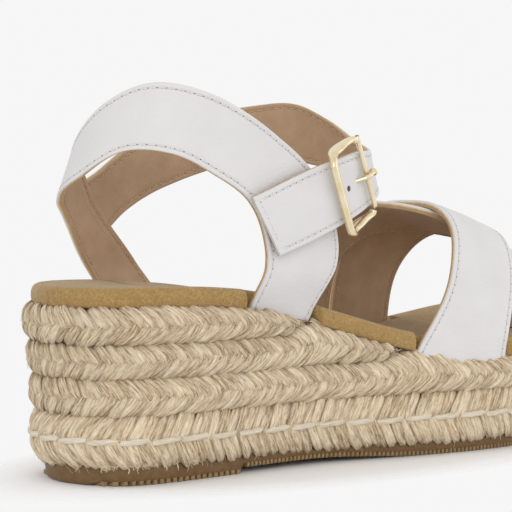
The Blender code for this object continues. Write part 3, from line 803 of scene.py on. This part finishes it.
def outsole():
    """The brown rubber sole: a smooth wall, a light lip below it, and cross ribs underneath, in a lighter copy
    of the rubber that paints a highlight on them.
    """
    rib = 1.1 * MM
    ribs_from = HEEL_X + 13 * MM

    def under(x):
        return ground_lift(x) + rib * smoothstep(ribs_from - 3 * MM, ribs_from, x)

    rings = [
        sole_ring(OUTSOLE_INSET + 5 * MM, outsole_top),
        sole_ring(OUTSOLE_INSET + 0.3 * MM, outsole_top),
        sole_ring(OUTSOLE_INSET, lambda x: outsole_top(x) - 0.4 * MM),
        sole_ring(OUTSOLE_INSET + 0.15 * MM, lambda x: 0.6 * outsole_top(x) + 0.4 * under(x)),
        sole_ring(OUTSOLE_INSET + 0.4 * MM, lambda x: under(x) + 0.9 * MM),
        sole_ring(OUTSOLE_INSET + 0.9 * MM, lambda x: under(x) + 0.25 * MM),
        sole_ring(OUTSOLE_INSET + 1.6 * MM, under),
        sole_ring(OUTSOLE_INSET + 4 * MM, under),
    ]
    count = len(rings[0])
    faces = grid_faces(len(rings), count, 0, wrap=True)
    faces += ladder_faces(count, 0, False)
    faces += ladder_faces(count, (len(rings) - 1) * count, True)
    vertices = list(np.vstack(rings))
    wall_faces = len(faces)
    x = ribs_from
    while x < 112 * MM:
        on_heel = x < HEEL_BLOCK_END - 1 * MM
        pitch = 2.4 * MM if on_heel else 1.7 * MM
        if not (HEEL_BLOCK_END - 1 * MM < x < HEEL_BLOCK_END + 2 * MM):
            low = float(ground_lift(x))
            half = 0.30 * pitch
            outer = -(wall_reach(x, -1) - 0.6 * MM)
            inner = wall_reach(x, 1) - 0.6 * MM
            first = len(vertices)
            for y in (outer, inner):
                step = 0.5 * MM if y > 0 else -0.5 * MM
                for dx, z, shift in (
                    (-half, rib + 0.5 * MM, 0), (-half, 0.35 * MM, 0), (-0.6 * half, 0, -step),
                    (0.6 * half, 0, -step), (half, 0.35 * MM, 0), (half, rib + 0.5 * MM, 0),
                ):
                    vertices.append((x + dx, y + shift, low + z))
            for side in range(6):
                after = (side + 1) % 6
                faces.append((first + side, first + after, first + 6 + after, first + 6 + side))
            faces.append(tuple(first + side for side in reversed(range(6))))
            faces.append(tuple(first + 6 + side for side in range(6)))
        x += pitch
    ids = np.zeros(len(faces), int)
    # the ribs take the lighter rubber, a painted highlight
    ids[wall_faces:] = 1
    made = make_object(
        "ribbed_outsole", vertices, faces, [RUBBER, RIB_RUBBER_PAINTED_LIGHT], replaces=("outsole",), slot="rubber_sole",
        material_ids=ids)
    made.data.set_sharp_from_angle(angle=math.radians(35))


def footbed():
    """Suede over foam: it wraps round the edge, with a soft shoulder, a shallow dish and small dents."""
    def at(lift):
        return lambda x: seat(x) + lift

    # in from the cover's edge and up from the wedge, in millimetres
    profile = [
        (2.5, 0.2), (0.4, 0.2), (0.0, 0.9), (-0.25, 2.4), (-0.2, 4.0), (0.15, 5.2), (0.8, 6.1),
        (1.8, 6.55), (3.2, 6.7),
    ]
    rings = [
        sole_ring(FOOTBED_INSET + inset * MM, at(lift * MM), 960, notch=True)
        for inset, lift in profile
    ]
    count = len(rings[0])
    vertices = np.vstack(rings)
    wave = np.sin(vertices[:, 0] * 310 + 2) * np.sin(vertices[:, 1] * 270 + vertices[:, 2] * 420)
    normal = np.vstack([rim(np.linspace(0, PERIMETER, count, endpoint=False))[1]] * len(rings))
    vertices[:, :2] += normal * (wave * 0.14 * MM)[:, None]
    faces = grid_faces(len(rings), count, 0, wrap=True)
    faces += ladder_faces(count, 0, False)
    # the top, in strips across from one side to the other
    top = rings[-1]
    columns = 15
    start = len(vertices)
    rows = count // 2 + 1
    share = np.linspace(0, 1, columns)[None, :, None]
    one = top[:rows][:, None, :]
    other = top[(-np.arange(rows)) % count][:, None, :]
    sheet = one + (other - one) * share
    across = np.linalg.norm(other - one, axis=2) / (60 * MM)
    dish = 1.1 * MM * np.sin(math.pi * share[..., 0]) ** 0.8 * np.clip(across, 0, 1)
    sheet[..., 2] -= dish
    vertices = np.vstack([vertices, sheet.reshape(-1, 3)])
    faces += grid_faces(rows, columns, start)
    made = make_object("suede_footbed", vertices, faces, [SUEDE], replaces=("footbed_cover",), slot="suede")
    shape = bmesh.new()
    shape.from_mesh(made.data)
    bmesh.ops.remove_doubles(shape, verts=shape.verts, dist=1e-5)
    bmesh.ops.recalc_face_normals(shape, faces=shape.faces)
    shape.to_mesh(made.data)
    shape.free()
    made.data.shade_smooth()


# ---- the straps


def ankle(turn, z, lift):
    """A point beside the ankle: turn goes in degrees from the front by the outer side and the back."""
    turn, z = np.broadcast_arrays(np.radians(turn), z)
    lean = np.where(np.cos(turn) < 0, 1.0, np.cos(turn) ** 2)
    length = ANKLE_HALF_LENGTH - ANKLE_LEAN * lean * np.maximum(0.0, z - ANKLE_LEAN_FROM)
    rise = smoothstep(52 * MM, 68 * MM, z)
    width = ANKLE_HALF_WIDTH_AT_SEAT + (ANKLE_HALF_WIDTH - ANKLE_HALF_WIDTH_AT_SEAT) * rise
    normal = np.stack([np.cos(turn) / length, -np.sin(turn) / width], axis=-1)
    normal /= np.linalg.norm(normal, axis=-1, keepdims=True)
    x = ANKLE_X + length * np.cos(turn) + normal[..., 0] * lift
    y = -width * np.sin(turn) + normal[..., 1] * lift
    return np.stack([x, y, z + 0.0 * x], axis=-1)


_instep = catmull([(10, 89), (26, 85.5), (42, 82), (58, 77), (74, 70.5), (90, 63), (106, 55)], 20) * MM
_instep = np.vstack([2 * _instep[:1] - _instep[20:21], _instep])


def foot_point(x, angle):
    """The back of the forefoot: angle goes from -90 at the outer edge to 90 at the inner edge."""
    outer = half_width(x, -1) - VAMP_FOOT_INSET
    inner = half_width(x, 1) - VAMP_FOOT_INSET
    low = seat(x) - STRAP_FOOT_DEPTH
    across = np.sign(angle) * np.abs(np.sin(np.radians(angle))) ** (2 / 3)
    up = np.maximum(0.0, np.cos(np.radians(angle))) ** (2 / 3)
    y = 0.5 * (inner - outer) + 0.5 * (inner + outer) * across
    top = np.interp(x, _instep[:, 0], _instep[:, 1])
    return np.stack([x, y, low + (top - low) * up], axis=-1)


def foot_back(x, angle, lift):
    x, angle = np.broadcast_arrays(np.asarray(x, float), np.asarray(angle, float))
    safe = np.clip(angle, -89.5, 89.5)
    over = foot_point(x, safe + 0.5) - foot_point(x, safe - 0.5)
    along = foot_point(x + 1 * MM, safe) - foot_point(x - 1 * MM, safe)
    normal = np.cross(over, along)
    normal /= np.linalg.norm(normal, axis=-1, keepdims=True)
    centre = np.stack([x, 0.0 * x, seat(x)], axis=-1)
    facing = np.sum(normal * (foot_point(x, safe) - centre), axis=-1, keepdims=True)
    lift = np.broadcast_to(lift, x.shape)[..., None]
    return foot_point(x, angle) + normal * np.sign(facing) * lift


HEEL_STRAP_UPPER = [
    (76, 0.0445), (67, 0.060), (63, 0.075), (72, 0.094), (92, 0.1105), (120, 0.123), (150, 0.127),
    (175, 0.121), (200, 0.109), (225, 0.098), (246, 0.080), (260, 0.064), (268, 0.0455),
]
HEEL_STRAP_LOWER = [
    (100, 0.0465), (97, 0.058), (95, 0.073), (101, 0.0885), (116, 0.098), (134, 0.1045), (156, 0.105),
    (178, 0.0965), (200, 0.0905), (216, 0.0835), (228, 0.072), (238, 0.0605), (243, 0.0475),
]
ANKLE_STRAP_UPPER = [
    (218, 0.0915), (238, 0.097), (256, 0.107), (285, 0.118), (315, 0.1225), (335, 0.1225),
    (353, 0.117), (372, 0.109), (394, 0.106), (416, 0.105), (440, 0.0995), (463, 0.0905),
]
ANKLE_STRAP_LOWER = [
    (234, 0.0725), (246, 0.0775), (257, 0.0855), (272, 0.093), (296, 0.1005), (322, 0.1025),
    (345, 0.0995), (370, 0.0935), (397, 0.0895), (424, 0.0815), (453, 0.0715),
]
# Over the forefoot, in (millimetres, degrees)
OVER_STRAP_REAR = [
    (8, -90), (17, -80), (24, -68), (29, -52), (33, -34), (35, -14), (36, 8), (35, 35), (33, 62), (31, 90),
]
OVER_STRAP_FRONT = [
    (47, -90), (51, -78), (55, -64), (59, -46), (63, -28), (66, -8), (68, 14), (68, 38), (66, 64), (65, 90),
]
UNDER_STRAP_REAR = [
    (-4, 90), (-3, 74), (0, 54), (7, 32), (18, 12), (32, -8), (46, -28), (58, -50), (66, -72), (70, -90),
]
UNDER_STRAP_FRONT = [
    (26, 90), (27, 72), (31, 54), (43, 36), (56, 20), (67, 2), (77, -18), (86, -40), (93, -66), (98, -90),
]


def edge_places(knots, surface, count):
    """count places at even distances along an edge drawn on a surface through its knots."""
    fine = catmull(knots, 40)
    run = lengths_along(surface(fine[:, 0], fine[:, 1], 0.0))
    wanted = np.linspace(0, run[-1], count)
    return at_places(wanted, run, fine)


class Strap:
    """A strap between two edges on a surface, with its layers, its edge paint and its stitches."""

    STATIONS = 170
    LINE_STEPS = 400
    EDGE_STEPS = np.array([0.0, 0.12, 0.3, 0.6, 1.0, 1.4, 1.7, 1.95, 2.2, 2.5, 3.1, 4.2, 6.0]) * MM

    def __init__(self, name, first, second, surface, lift):
        self.name = name
        self.lift = lift
        self.surface = surface
        self.one = edge_places(first, surface, self.STATIONS)
        self.other = edge_places(second, surface, self.STATIONS)
        gap = surface(self.one[:, 0], self.one[:, 1], 0.0) - surface(self.other[:, 0], self.other[:, 1], 0.0)
        self.width = np.linalg.norm(gap, axis=1) * 1.04

    def point(self, station, distance, height):
        """A point at a station, at a distance in from the first edge, at a height in the strap."""
        index = np.clip(station, 0, self.STATIONS - 1)
        steps = np.arange(self.STATIONS)
        width = np.interp(index, steps, self.width)
        share = distance / width
        places = []
        for axis in (0, 1):
            one = np.interp(index, steps, self.one[:, axis])
            other = np.interp(index, steps, self.other[:, axis])
            places.append(one + (other - one) * share)
        return self.surface(places[0], places[1], self.lift + height)

    def distances(self):
        """Distances in from the first edge, for each station, close together near both edges."""
        edge = self.EDGE_STEPS
        rows = []
        for width in self.width:
            steps = edge * min(1.0, 0.45 * width / edge[-1])
            rows.append(np.concatenate([steps, [0.5 * width], width - steps[::-1]]))
        return np.array(rows)

    def layer(self, suffix, low, high, finish, node, slot, outside):
        """One leather layer, rounded at its outer corners and drawn in along the stitches."""
        distance = self.distances()
        stations = np.broadcast_to(np.arange(self.STATIONS)[:, None], distance.shape)
        inward = np.minimum(distance, self.width[:, None] - distance)
        rounding = 0.45 * MM
        share = np.clip(1 - inward / rounding, 0, 1)
        drop = rounding * (1 - np.sqrt(1 - share ** 2))
        groove = 0.20 * MM * np.exp(-((inward - STITCH_INSET) / (0.5 * MM)) ** 2)
        puff = 0.10 * MM * np.exp(-((inward - 1.0 * MM) / (0.6 * MM)) ** 2)
        shape = drop + groove - puff
        bottom, top = np.full(distance.shape, low), np.full(distance.shape, high)
        if outside:
            top = top - shape
        else:
            bottom = bottom + shape
        under = self.point(stations, distance, bottom)
        over = self.point(stations, distance, top)[:, ::-1]
        rings = np.concatenate([under, over], axis=1)
        tubes = Tubes()
        tubes.add(rings if outside else rings[1:-1])
        made = tubes.build(self.name + suffix, [finish], replaces=(node,), slot=slot)
        made.data.set_sharp_from_angle(angle=math.radians(50))
        return made

    def edge(self, slot):
        """The painted edge between the two layers, a little proud of them."""
        stations = np.linspace(0, self.STATIONS - 1, self.STATIONS)
        proud = 0.10 * MM
        tubes = Tubes()
        for base, sign in ((np.zeros(self.STATIONS), 1), (self.width, -1)):
            rings = []
            for depth, height in (
                (-proud, 1.15), (-0.2 * proud, 0.80), (6 * proud, 0.95), (6 * proud, 1.35),
                (-0.2 * proud, 1.52),
            ):
                rings.append(self.point(stations, base + sign * depth, height * MM))
            tubes.add(np.stack(rings, axis=1))
        tubes.build(self.name + "_painted_edge", [PAINT], slot=slot)

    def line(self, distance_from, inset, first, last):
        """Stations and distances of a line parallel to an edge: 0 is the first edge and 1 the second."""
        stations = np.linspace(first, last, self.LINE_STEPS) * (self.STATIONS - 1)
        width = np.interp(stations, np.arange(self.STATIONS), self.width)
        distance = np.full(self.LINE_STEPS, inset) if distance_from == 0 else width - inset
        return stations, distance

    def cross_line(self, station, inset=2.4 * MM):
        """Stations and distances of a line straight across the strap."""
        width = float(np.interp(station, np.arange(self.STATIONS), self.width))
        distance = np.linspace(inset, width - inset, 120)
        return np.full(120, station), distance


class Stitches:
    """Lockstitches gathered for one thread: each runs from one needle hole to the next."""

    PITCH = 3.0 * MM
    HALF_WIDTH = 0.21 * MM
    HALF_THICKNESS = 0.19 * MM

    def __init__(self, hole_size):
        self.threads, self.holes = Tubes(), Tubes()
        self.hole_size = hole_size

    def sew(self, strap, stations, distances, outside):
        face = LAYER - 0.14 * MM if outside else 0.14 * MM
        sign = 1.0 if outside else -1.0
        surface = strap.point(stations, distances, face)
        raised = strap.point(stations, distances, face + sign * 1.0 * MM) - surface
        raised /= np.linalg.norm(raised, axis=1)[:, None]
        run = lengths_along(surface)
        for index in range(int(run[-1] / self.PITCH)):
            t = np.linspace(0.06, 0.94, 8)
            wanted = (index + t) * self.PITCH
            path = at_places(wanted, run, surface)
            up = at_places(wanted, run, raised)
            arch = (-0.28 + 0.42 * np.sin(math.pi * np.linspace(0, 1, 8)) ** 0.4) * MM
            centre = path[0] + up[0] * 0.10 * MM
            forward = path[1] - path[0]
            forward /= np.linalg.norm(forward)
            path = path + up * arch[:, None]
            thread_rings = tube(path, up, self.HALF_WIDTH, self.HALF_THICKNESS, 6)
            self.threads.add(thread_rings, random.uniform(-1, 1))
            # a dark oval at each needle hole, painted shade inside the hole
            across = np.linspace(-1, 1, 5)
            spine = centre + up[0] * (across[:, None] * 0.05 * MM)
            radius = self.hole_size * np.sqrt(np.clip(1 - across ** 2, 0.03, 1))
            self.holes.add(tube(spine, forward, radius * 0.62, radius * 1.25, 8))

    def build(self, name, finish, slot):
        self.threads.build(name, [finish], slot=slot)
        self.holes.build(name + "_needle_hole_painted_shade", [HOLE_PAINTED_SHADE], slot="taupe_lining")


def in_metres(knots):
    return [(x * MM, angle) for x, angle in knots]


def punch(pieces, place, first, last, radius):
    """Punches a hole through leather on the buckle's axes: round, or a slot if first and last differ."""
    mesh = bpy.data.meshes.new("punch")
    shape = bmesh.new()
    bmesh.ops.create_cone(shape, segments=24, radius1=1.0, radius2=1.0, depth=1.0, cap_ends=True)
    for corner in shape.verts:
        x = corner.co.x * radius + (first + radius if corner.co.x < 0 else last - radius)
        corner.co = place @ Vector((x, corner.co.y * radius, 4.5 * MM + corner.co.z * 12 * MM))
    bmesh.ops.recalc_face_normals(shape, faces=shape.faces)
    shape.to_mesh(mesh)
    shape.free()
    cutter = add_object("punch", mesh)
    for piece in pieces:
        step = piece.modifiers.new("punch", "BOOLEAN")
        step.operation = "DIFFERENCE"
        step.solver = "EXACT"
        step.object = cutter
        bpy.context.view_layer.update()
        shown = piece.evaluated_get(bpy.context.evaluated_depsgraph_get())
        baked = bpy.data.meshes.new_from_object(shown)
        piece.modifiers.clear()
        piece.data = baked
    bpy.data.objects.remove(cutter, do_unlink=True)


def straps(place):
    white_stitches, tan_stitches = Stitches(0.27 * MM), Stitches(0.2 * MM)
    plan = [
        ("heel_strap", HEEL_STRAP_UPPER, HEEL_STRAP_LOWER, ankle, 0.0),
        ("ankle_strap", ANKLE_STRAP_UPPER, ANKLE_STRAP_LOWER, ankle, ANKLE_STRAP_LIFT),
        ("vamp_under_strap", in_metres(UNDER_STRAP_REAR), in_metres(UNDER_STRAP_FRONT), foot_back, 0.0),
        ("vamp_over_strap", in_metres(OVER_STRAP_REAR), in_metres(OVER_STRAP_FRONT), foot_back, LAYER + GAP),
    ]
    made = {}
    for name, first, second, surface, lift in plan:
        strap = Strap(name, first, second, surface, lift)
        outer = strap.layer("_leather", LEATHER_BOTTOM, LAYER, WHITE, name + "_outer", "white_leather", True)
        lining = strap.layer("_suede_lining", 0.0, LINING_TOP, TAUPE, name + "_lining", "taupe_lining", False)
        strap.edge("white_leather")
        for side in (0, 1):
            line = strap.line(side, STITCH_INSET, 0.008, 0.992)
            white_stitches.sew(strap, *line, True)
            tan_stitches.sew(strap, *line, False)
        made[name] = (strap, outer, lining)
    ankle_strap = made["ankle_strap"][0]
    white_stitches.sew(ankle_strap, *ankle_strap.cross_line(0.9915 * (Strap.STATIONS - 1)), True)
    heel_strap = made["heel_strap"][0]
    for inset in (STITCH_INSET, 4.4 * MM):
        stations, distances = heel_strap.line(0, inset, 0.735, 0.86)
        tan_stitches.sew(heel_strap, stations, distances, False)
    layers = made["ankle_strap"][1:]
    hole = (SPARE_HOLE_AT - SPARE_HOLE_RADIUS, SPARE_HOLE_AT + SPARE_HOLE_RADIUS)
    punch(layers, place, *PRONG_SLOT, PRONG_SLOT_RADIUS)
    punch(layers, place, *hole, SPARE_HOLE_RADIUS)
    white_stitches.build("white_stitches", WHITE_THREAD, "white_leather")
    tan_stitches.build("lining_stitches", TAN_THREAD, "taupe_lining")


# ---- the buckle


def buckle_place():
    """Axes on the outer side of the ankle: X rearward along the strap, Y across it and Z outward."""
    def spot(turn, z):
        return Vector(ankle(turn, z, 0.0))

    centre = spot(BUCKLE_TURN, BUCKLE_HEIGHT)
    back = (spot(BUCKLE_TURN + 1, BUCKLE_HEIGHT) - spot(BUCKLE_TURN - 1, BUCKLE_HEIGHT)).normalized()
    up = spot(BUCKLE_TURN, BUCKLE_HEIGHT + 1 * MM) - spot(BUCKLE_TURN, BUCKLE_HEIGHT - 1 * MM)
    up = (up - back * up.dot(back)).normalized()
    along = back * math.cos(BUCKLE_TILT) - up * math.sin(BUCKLE_TILT)
    over = back * math.sin(BUCKLE_TILT) + up * math.cos(BUCKLE_TILT)
    outward = along.cross(over)
    if outward.y > 0:
        outward = -outward
    axes = Matrix((along, over, outward)).transposed()
    return Matrix.Translation(centre) @ axes.to_4x4()


def placed(points, place):
    return np.array([place @ Vector(point) for point in points])


def gold_piece(name, node, rings, body="buckle"):
    tubes = Tubes()
    tubes.add(rings)
    tubes.build(name, [GOLD], body=body, replaces=(node,), slot="gold_metal")


def buckle_frame(place, outward):
    """Two arms that dip towards the foot beside the strap, and the thick rear bar between them."""
    side = FRAME_HALF_HEIGHT
    arm = catmull([
        (-FRONT_BAR_AT + 0.9 * MM, side - 0.9 * MM, FRONT_BAR_LIFT - 0.3 * MM),
        (-7.9 * MM, side, 6.3 * MM), (-6.0 * MM, side + 0.3 * MM, 5.6 * MM),
        (-3.2 * MM, side + 0.3 * MM, 4.9 * MM), (0, side + 0.3 * MM, 4.6 * MM),
        (3.2 * MM, side + 0.3 * MM, 5.0 * MM), (5.6 * MM, side + 0.2 * MM, 6.1 * MM),
        (7.6 * MM, side - 0.3 * MM, 7.3 * MM), (REAR_BAR_AT, side - 1.9 * MM, REAR_BAR_LIFT),
    ], 10)
    lower = arm[::-1] * np.array([1, -1, 1])
    straight = np.linspace(side - 3 * MM, 3 * MM - side, 15)
    bar = np.array([(REAR_BAR_AT + 0.2 * MM, y, REAR_BAR_LIFT) for y in straight])
    local = np.vstack([arm, bar, lower])
    loop = placed(local, place)
    near_rear = smoothstep(6.5 * MM, REAR_BAR_AT, local[:, 0])
    across = (1.15 + 0.45 * near_rear) * MM
    plate = (1.20 + 1.45 * np.exp(-(local[:, 0] / (5.0 * MM)) ** 2)) * MM
    gold_piece("gold_buckle_frame", "buckle_frame", tube(loop, outward, across, plate, 24))


def front_bar(place, outward):
    """The thin front bar, with a hollow upper end."""
    half = FRAME_HALF_HEIGHT - 1.1 * MM - GAP
    ends = np.linspace(-half, half + 1.9 * MM, 24)
    line = placed([(-FRONT_BAR_AT, y, FRONT_BAR_LIFT) for y in ends], place)
    outer = tube(line, outward, BAR_RADIUS, BAR_RADIUS, 20)
    inner = tube(line[-1:-6:-1], outward, 0.62 * BAR_RADIUS, 0.62 * BAR_RADIUS, 20)
    rings = np.concatenate([outer, inner[:, ::-1][:, np.r_[-1, 0:19]]])
    gold_piece("gold_front_bar", "buckle_front_bar", rings)


def centre_bar(place, outward):
    reach = FRAME_HALF_HEIGHT - FRAME_WIRE
    line = placed([(0, y, CENTRE_BAR_LIFT) for y in np.linspace(-reach, reach, 12)], place)
    gold_piece("gold_centre_bar", "buckle_centre_bar", tube(line, outward, BAR_RADIUS, BAR_RADIUS, 16))


def prong(place):
    """The prong: an eye round the centre bar, and a shaft to a knobbed end over the front bar."""
    ring = BAR_RADIUS + GAP + PRONG_RADIUS
    turn = np.radians(np.linspace(283, 0, 28))
    eye = [(ring * math.sin(a), 0, CENTRE_BAR_LIFT + ring * math.cos(a)) for a in turn]
    rest = FRONT_BAR_LIFT + BAR_RADIUS + GAP + PRONG_RADIUS
    shaft = catmull([
        eye[-1], (-2.2 * MM, 0, CENTRE_BAR_LIFT + ring + 0.5 * MM),
        (-4.6 * MM, 0, CENTRE_BAR_LIFT + ring + 2.2 * MM), (-7.2 * MM, 0, rest - 0.5 * MM),
        (-FRONT_BAR_AT, 0, rest), (-FRONT_BAR_AT - 1.7 * MM, 0, rest - 0.3 * MM),
        (-FRONT_BAR_AT - 2.6 * MM, 0, rest - 0.7 * MM),
    ], 8)
    path = placed(np.vstack([np.array(eye[:-1]), shaft]), place)
    radius = np.full(len(path), PRONG_RADIUS)
    knob = np.arange(len(path)) - (len(path) - 7)
    radius *= 1 + 0.95 * np.exp(-(knob / 3.8) ** 2)
    radius[-2:] *= (0.8, 0.35)
    rings = tube(path, np.array(place.col[1][:3]), radius, radius, 16)
    gold_piece("gold_prong", "buckle_prong", rings, "prong")


def buckle(place):
    outward = np.array(place.col[2][:3])
    buckle_frame(place, outward)
    front_bar(place, outward)
    centre_bar(place, outward)
    prong(place)


def spare_hole(place):
    """The cut wall of the round punched hole, dark with painted shade from the hole's depth."""
    outer, inner = 1.04 * MM, 0.97 * MM
    low, high = 3.55 * MM, 5.66 * MM
    profile = [
        (outer, low), (outer, high), (inner, high - 0.06 * MM), (inner, low + 0.05 * MM), (outer, low),
    ]
    rings = []
    for radius, height in profile:
        spots = [
            (SPARE_HOLE_AT + radius * math.cos(angle), radius * math.sin(angle), height)
            for angle in circle_angles(20)
        ]
        rings.append(placed(spots, place))
    # the wall's dark material is painted shade
    hole = Tubes()
    hole.add(np.array(rings))
    hole.build("spare_hole", [HOLE_PAINTED_SHADE], slot="taupe_lining")


# ---- hidden CAD pieces, floor, light, camera


def finish_carried_nodes():
    """The CAD pieces that stay: the core, board and foam inside, and the buckle's leather tab."""
    finishes = {
        "wedge_core": foam("wedge foam", (0.34, 0.22, 0.12), (0.50, 0.35, 0.20)),
        "insole_board": board(),
        "footbed_foam": foam("footbed foam", (0.52, 0.47, 0.38), (0.68, 0.62, 0.50)),
        "buckle_tab": WHITE,
    }
    for node, finish in finishes.items():
        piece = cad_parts[node]
        if not piece.material_slots:
            piece.data.materials.append(finish)
        for slot in piece.material_slots:
            slot.material = finish


BACKDROP = 0.922
FLOOR_COLOUR = (0.90, 0.90, 0.90)
FLOOR_RADIUS = 0.8
# The floor fades out between two shares of an oval, whose half length and half width come first
FLOOR_OVAL = (0.15, 0.066)
FADE_FROM = 0.76
FADE_TO = 1.06


def floor():
    """A pale floor that fades into the backdrop away from the sandal."""
    n = Nodes("pale floor")
    distance = n.tree.nodes.new("ShaderNodeVectorMath")
    distance.operation = "LENGTH"
    n.put(distance.inputs[0], n.stretched(n.place(), (1 / FLOOR_OVAL[0], 1 / FLOOR_OVAL[1], 1.0)))
    fade = n.add("ShaderNodeMapRange", Value=distance.outputs["Value"],
                 From_Min=FADE_FROM, From_Max=FADE_TO, To_Min=0.0, To_Max=1.0)
    n.finish(FLOOR_COLOUR, 1.0, Specular_IOR_Level=0.0)
    clear = n.tree.nodes.new("ShaderNodeBsdfTransparent")
    mix = n.tree.nodes.new("ShaderNodeMixShader")
    for socket, value in zip(mix.inputs, (fade.outputs["Result"], n.shader.outputs[0], clear.outputs[0])):
        n.put(socket, value)
    n.put(n.tree.nodes["Material Output"].inputs["Surface"], mix.outputs[0])
    mesh = bpy.data.meshes.new("floor")
    shape = bmesh.new()
    bmesh.ops.create_circle(shape, cap_ends=True, segments=96, radius=FLOOR_RADIUS)
    shape.to_mesh(mesh)
    shape.free()
    mesh.materials.append(n.material)
    add_object("floor", mesh)


def light():
    world = bpy.data.worlds.new("studio")
    world.use_nodes = True
    back = world.node_tree.nodes["Background"]
    back.inputs["Color"].default_value = (BACKDROP, BACKDROP, BACKDROP, 1.0)
    back.inputs["Strength"].default_value = 1.0
    bpy.context.scene.world = world
    for name, place, aim, size, power in (
        ("key", (-0.70, -1.00, 0.55), (-0.03, 0, 0.06), 0.7, 2.6),
        ("fill", (0.9, -0.6, 0.4), (0.02, 0, 0.05), 0.9, 0.8),
    ):
        lamp = bpy.data.lights.new(name, "AREA")
        lamp.shape = "DISK"
        lamp.size = size
        lamp.energy = power
        made = add_object(name, lamp)
        made.location = place
        made.rotation_euler = (Vector(place) - Vector(aim)).to_track_quat("Z", "Y").to_euler()


# The camera stands behind the outer side of the heel, low, and looks just inside the ankle opening
VIEW_AZIMUTH = math.radians(-40)
VIEW_ELEVATION = math.radians(2.6)
VIEW_DISTANCE = 0.700
VIEW_TARGET = Vector((-19.8, 16.7, 68.7)) * MM
LENS = 138.9


def camera():
    lens = bpy.data.cameras.new("camera")
    lens.sensor_width = 36.0
    lens.lens = LENS
    made = add_object("camera", lens)
    direction = Vector((
        math.sin(VIEW_AZIMUTH) * math.cos(VIEW_ELEVATION),
        -math.cos(VIEW_AZIMUTH) * math.cos(VIEW_ELEVATION),
        math.sin(VIEW_ELEVATION),
    ))
    made.location = VIEW_TARGET + direction * VIEW_DISTANCE
    made.rotation_euler = direction.to_track_quat("Z", "Y").to_euler()
    bpy.context.scene.camera = made


def main():
    bpy.context.scene.view_settings.view_transform = "Standard"
    camera()
    light()
    floor()
    place = buckle_place()
    finish_carried_nodes()
    outsole()
    braids()
    sole_cord()
    loose_fibres()
    footbed()
    straps(place)
    buckle(place)
    spare_hole(place)


main()
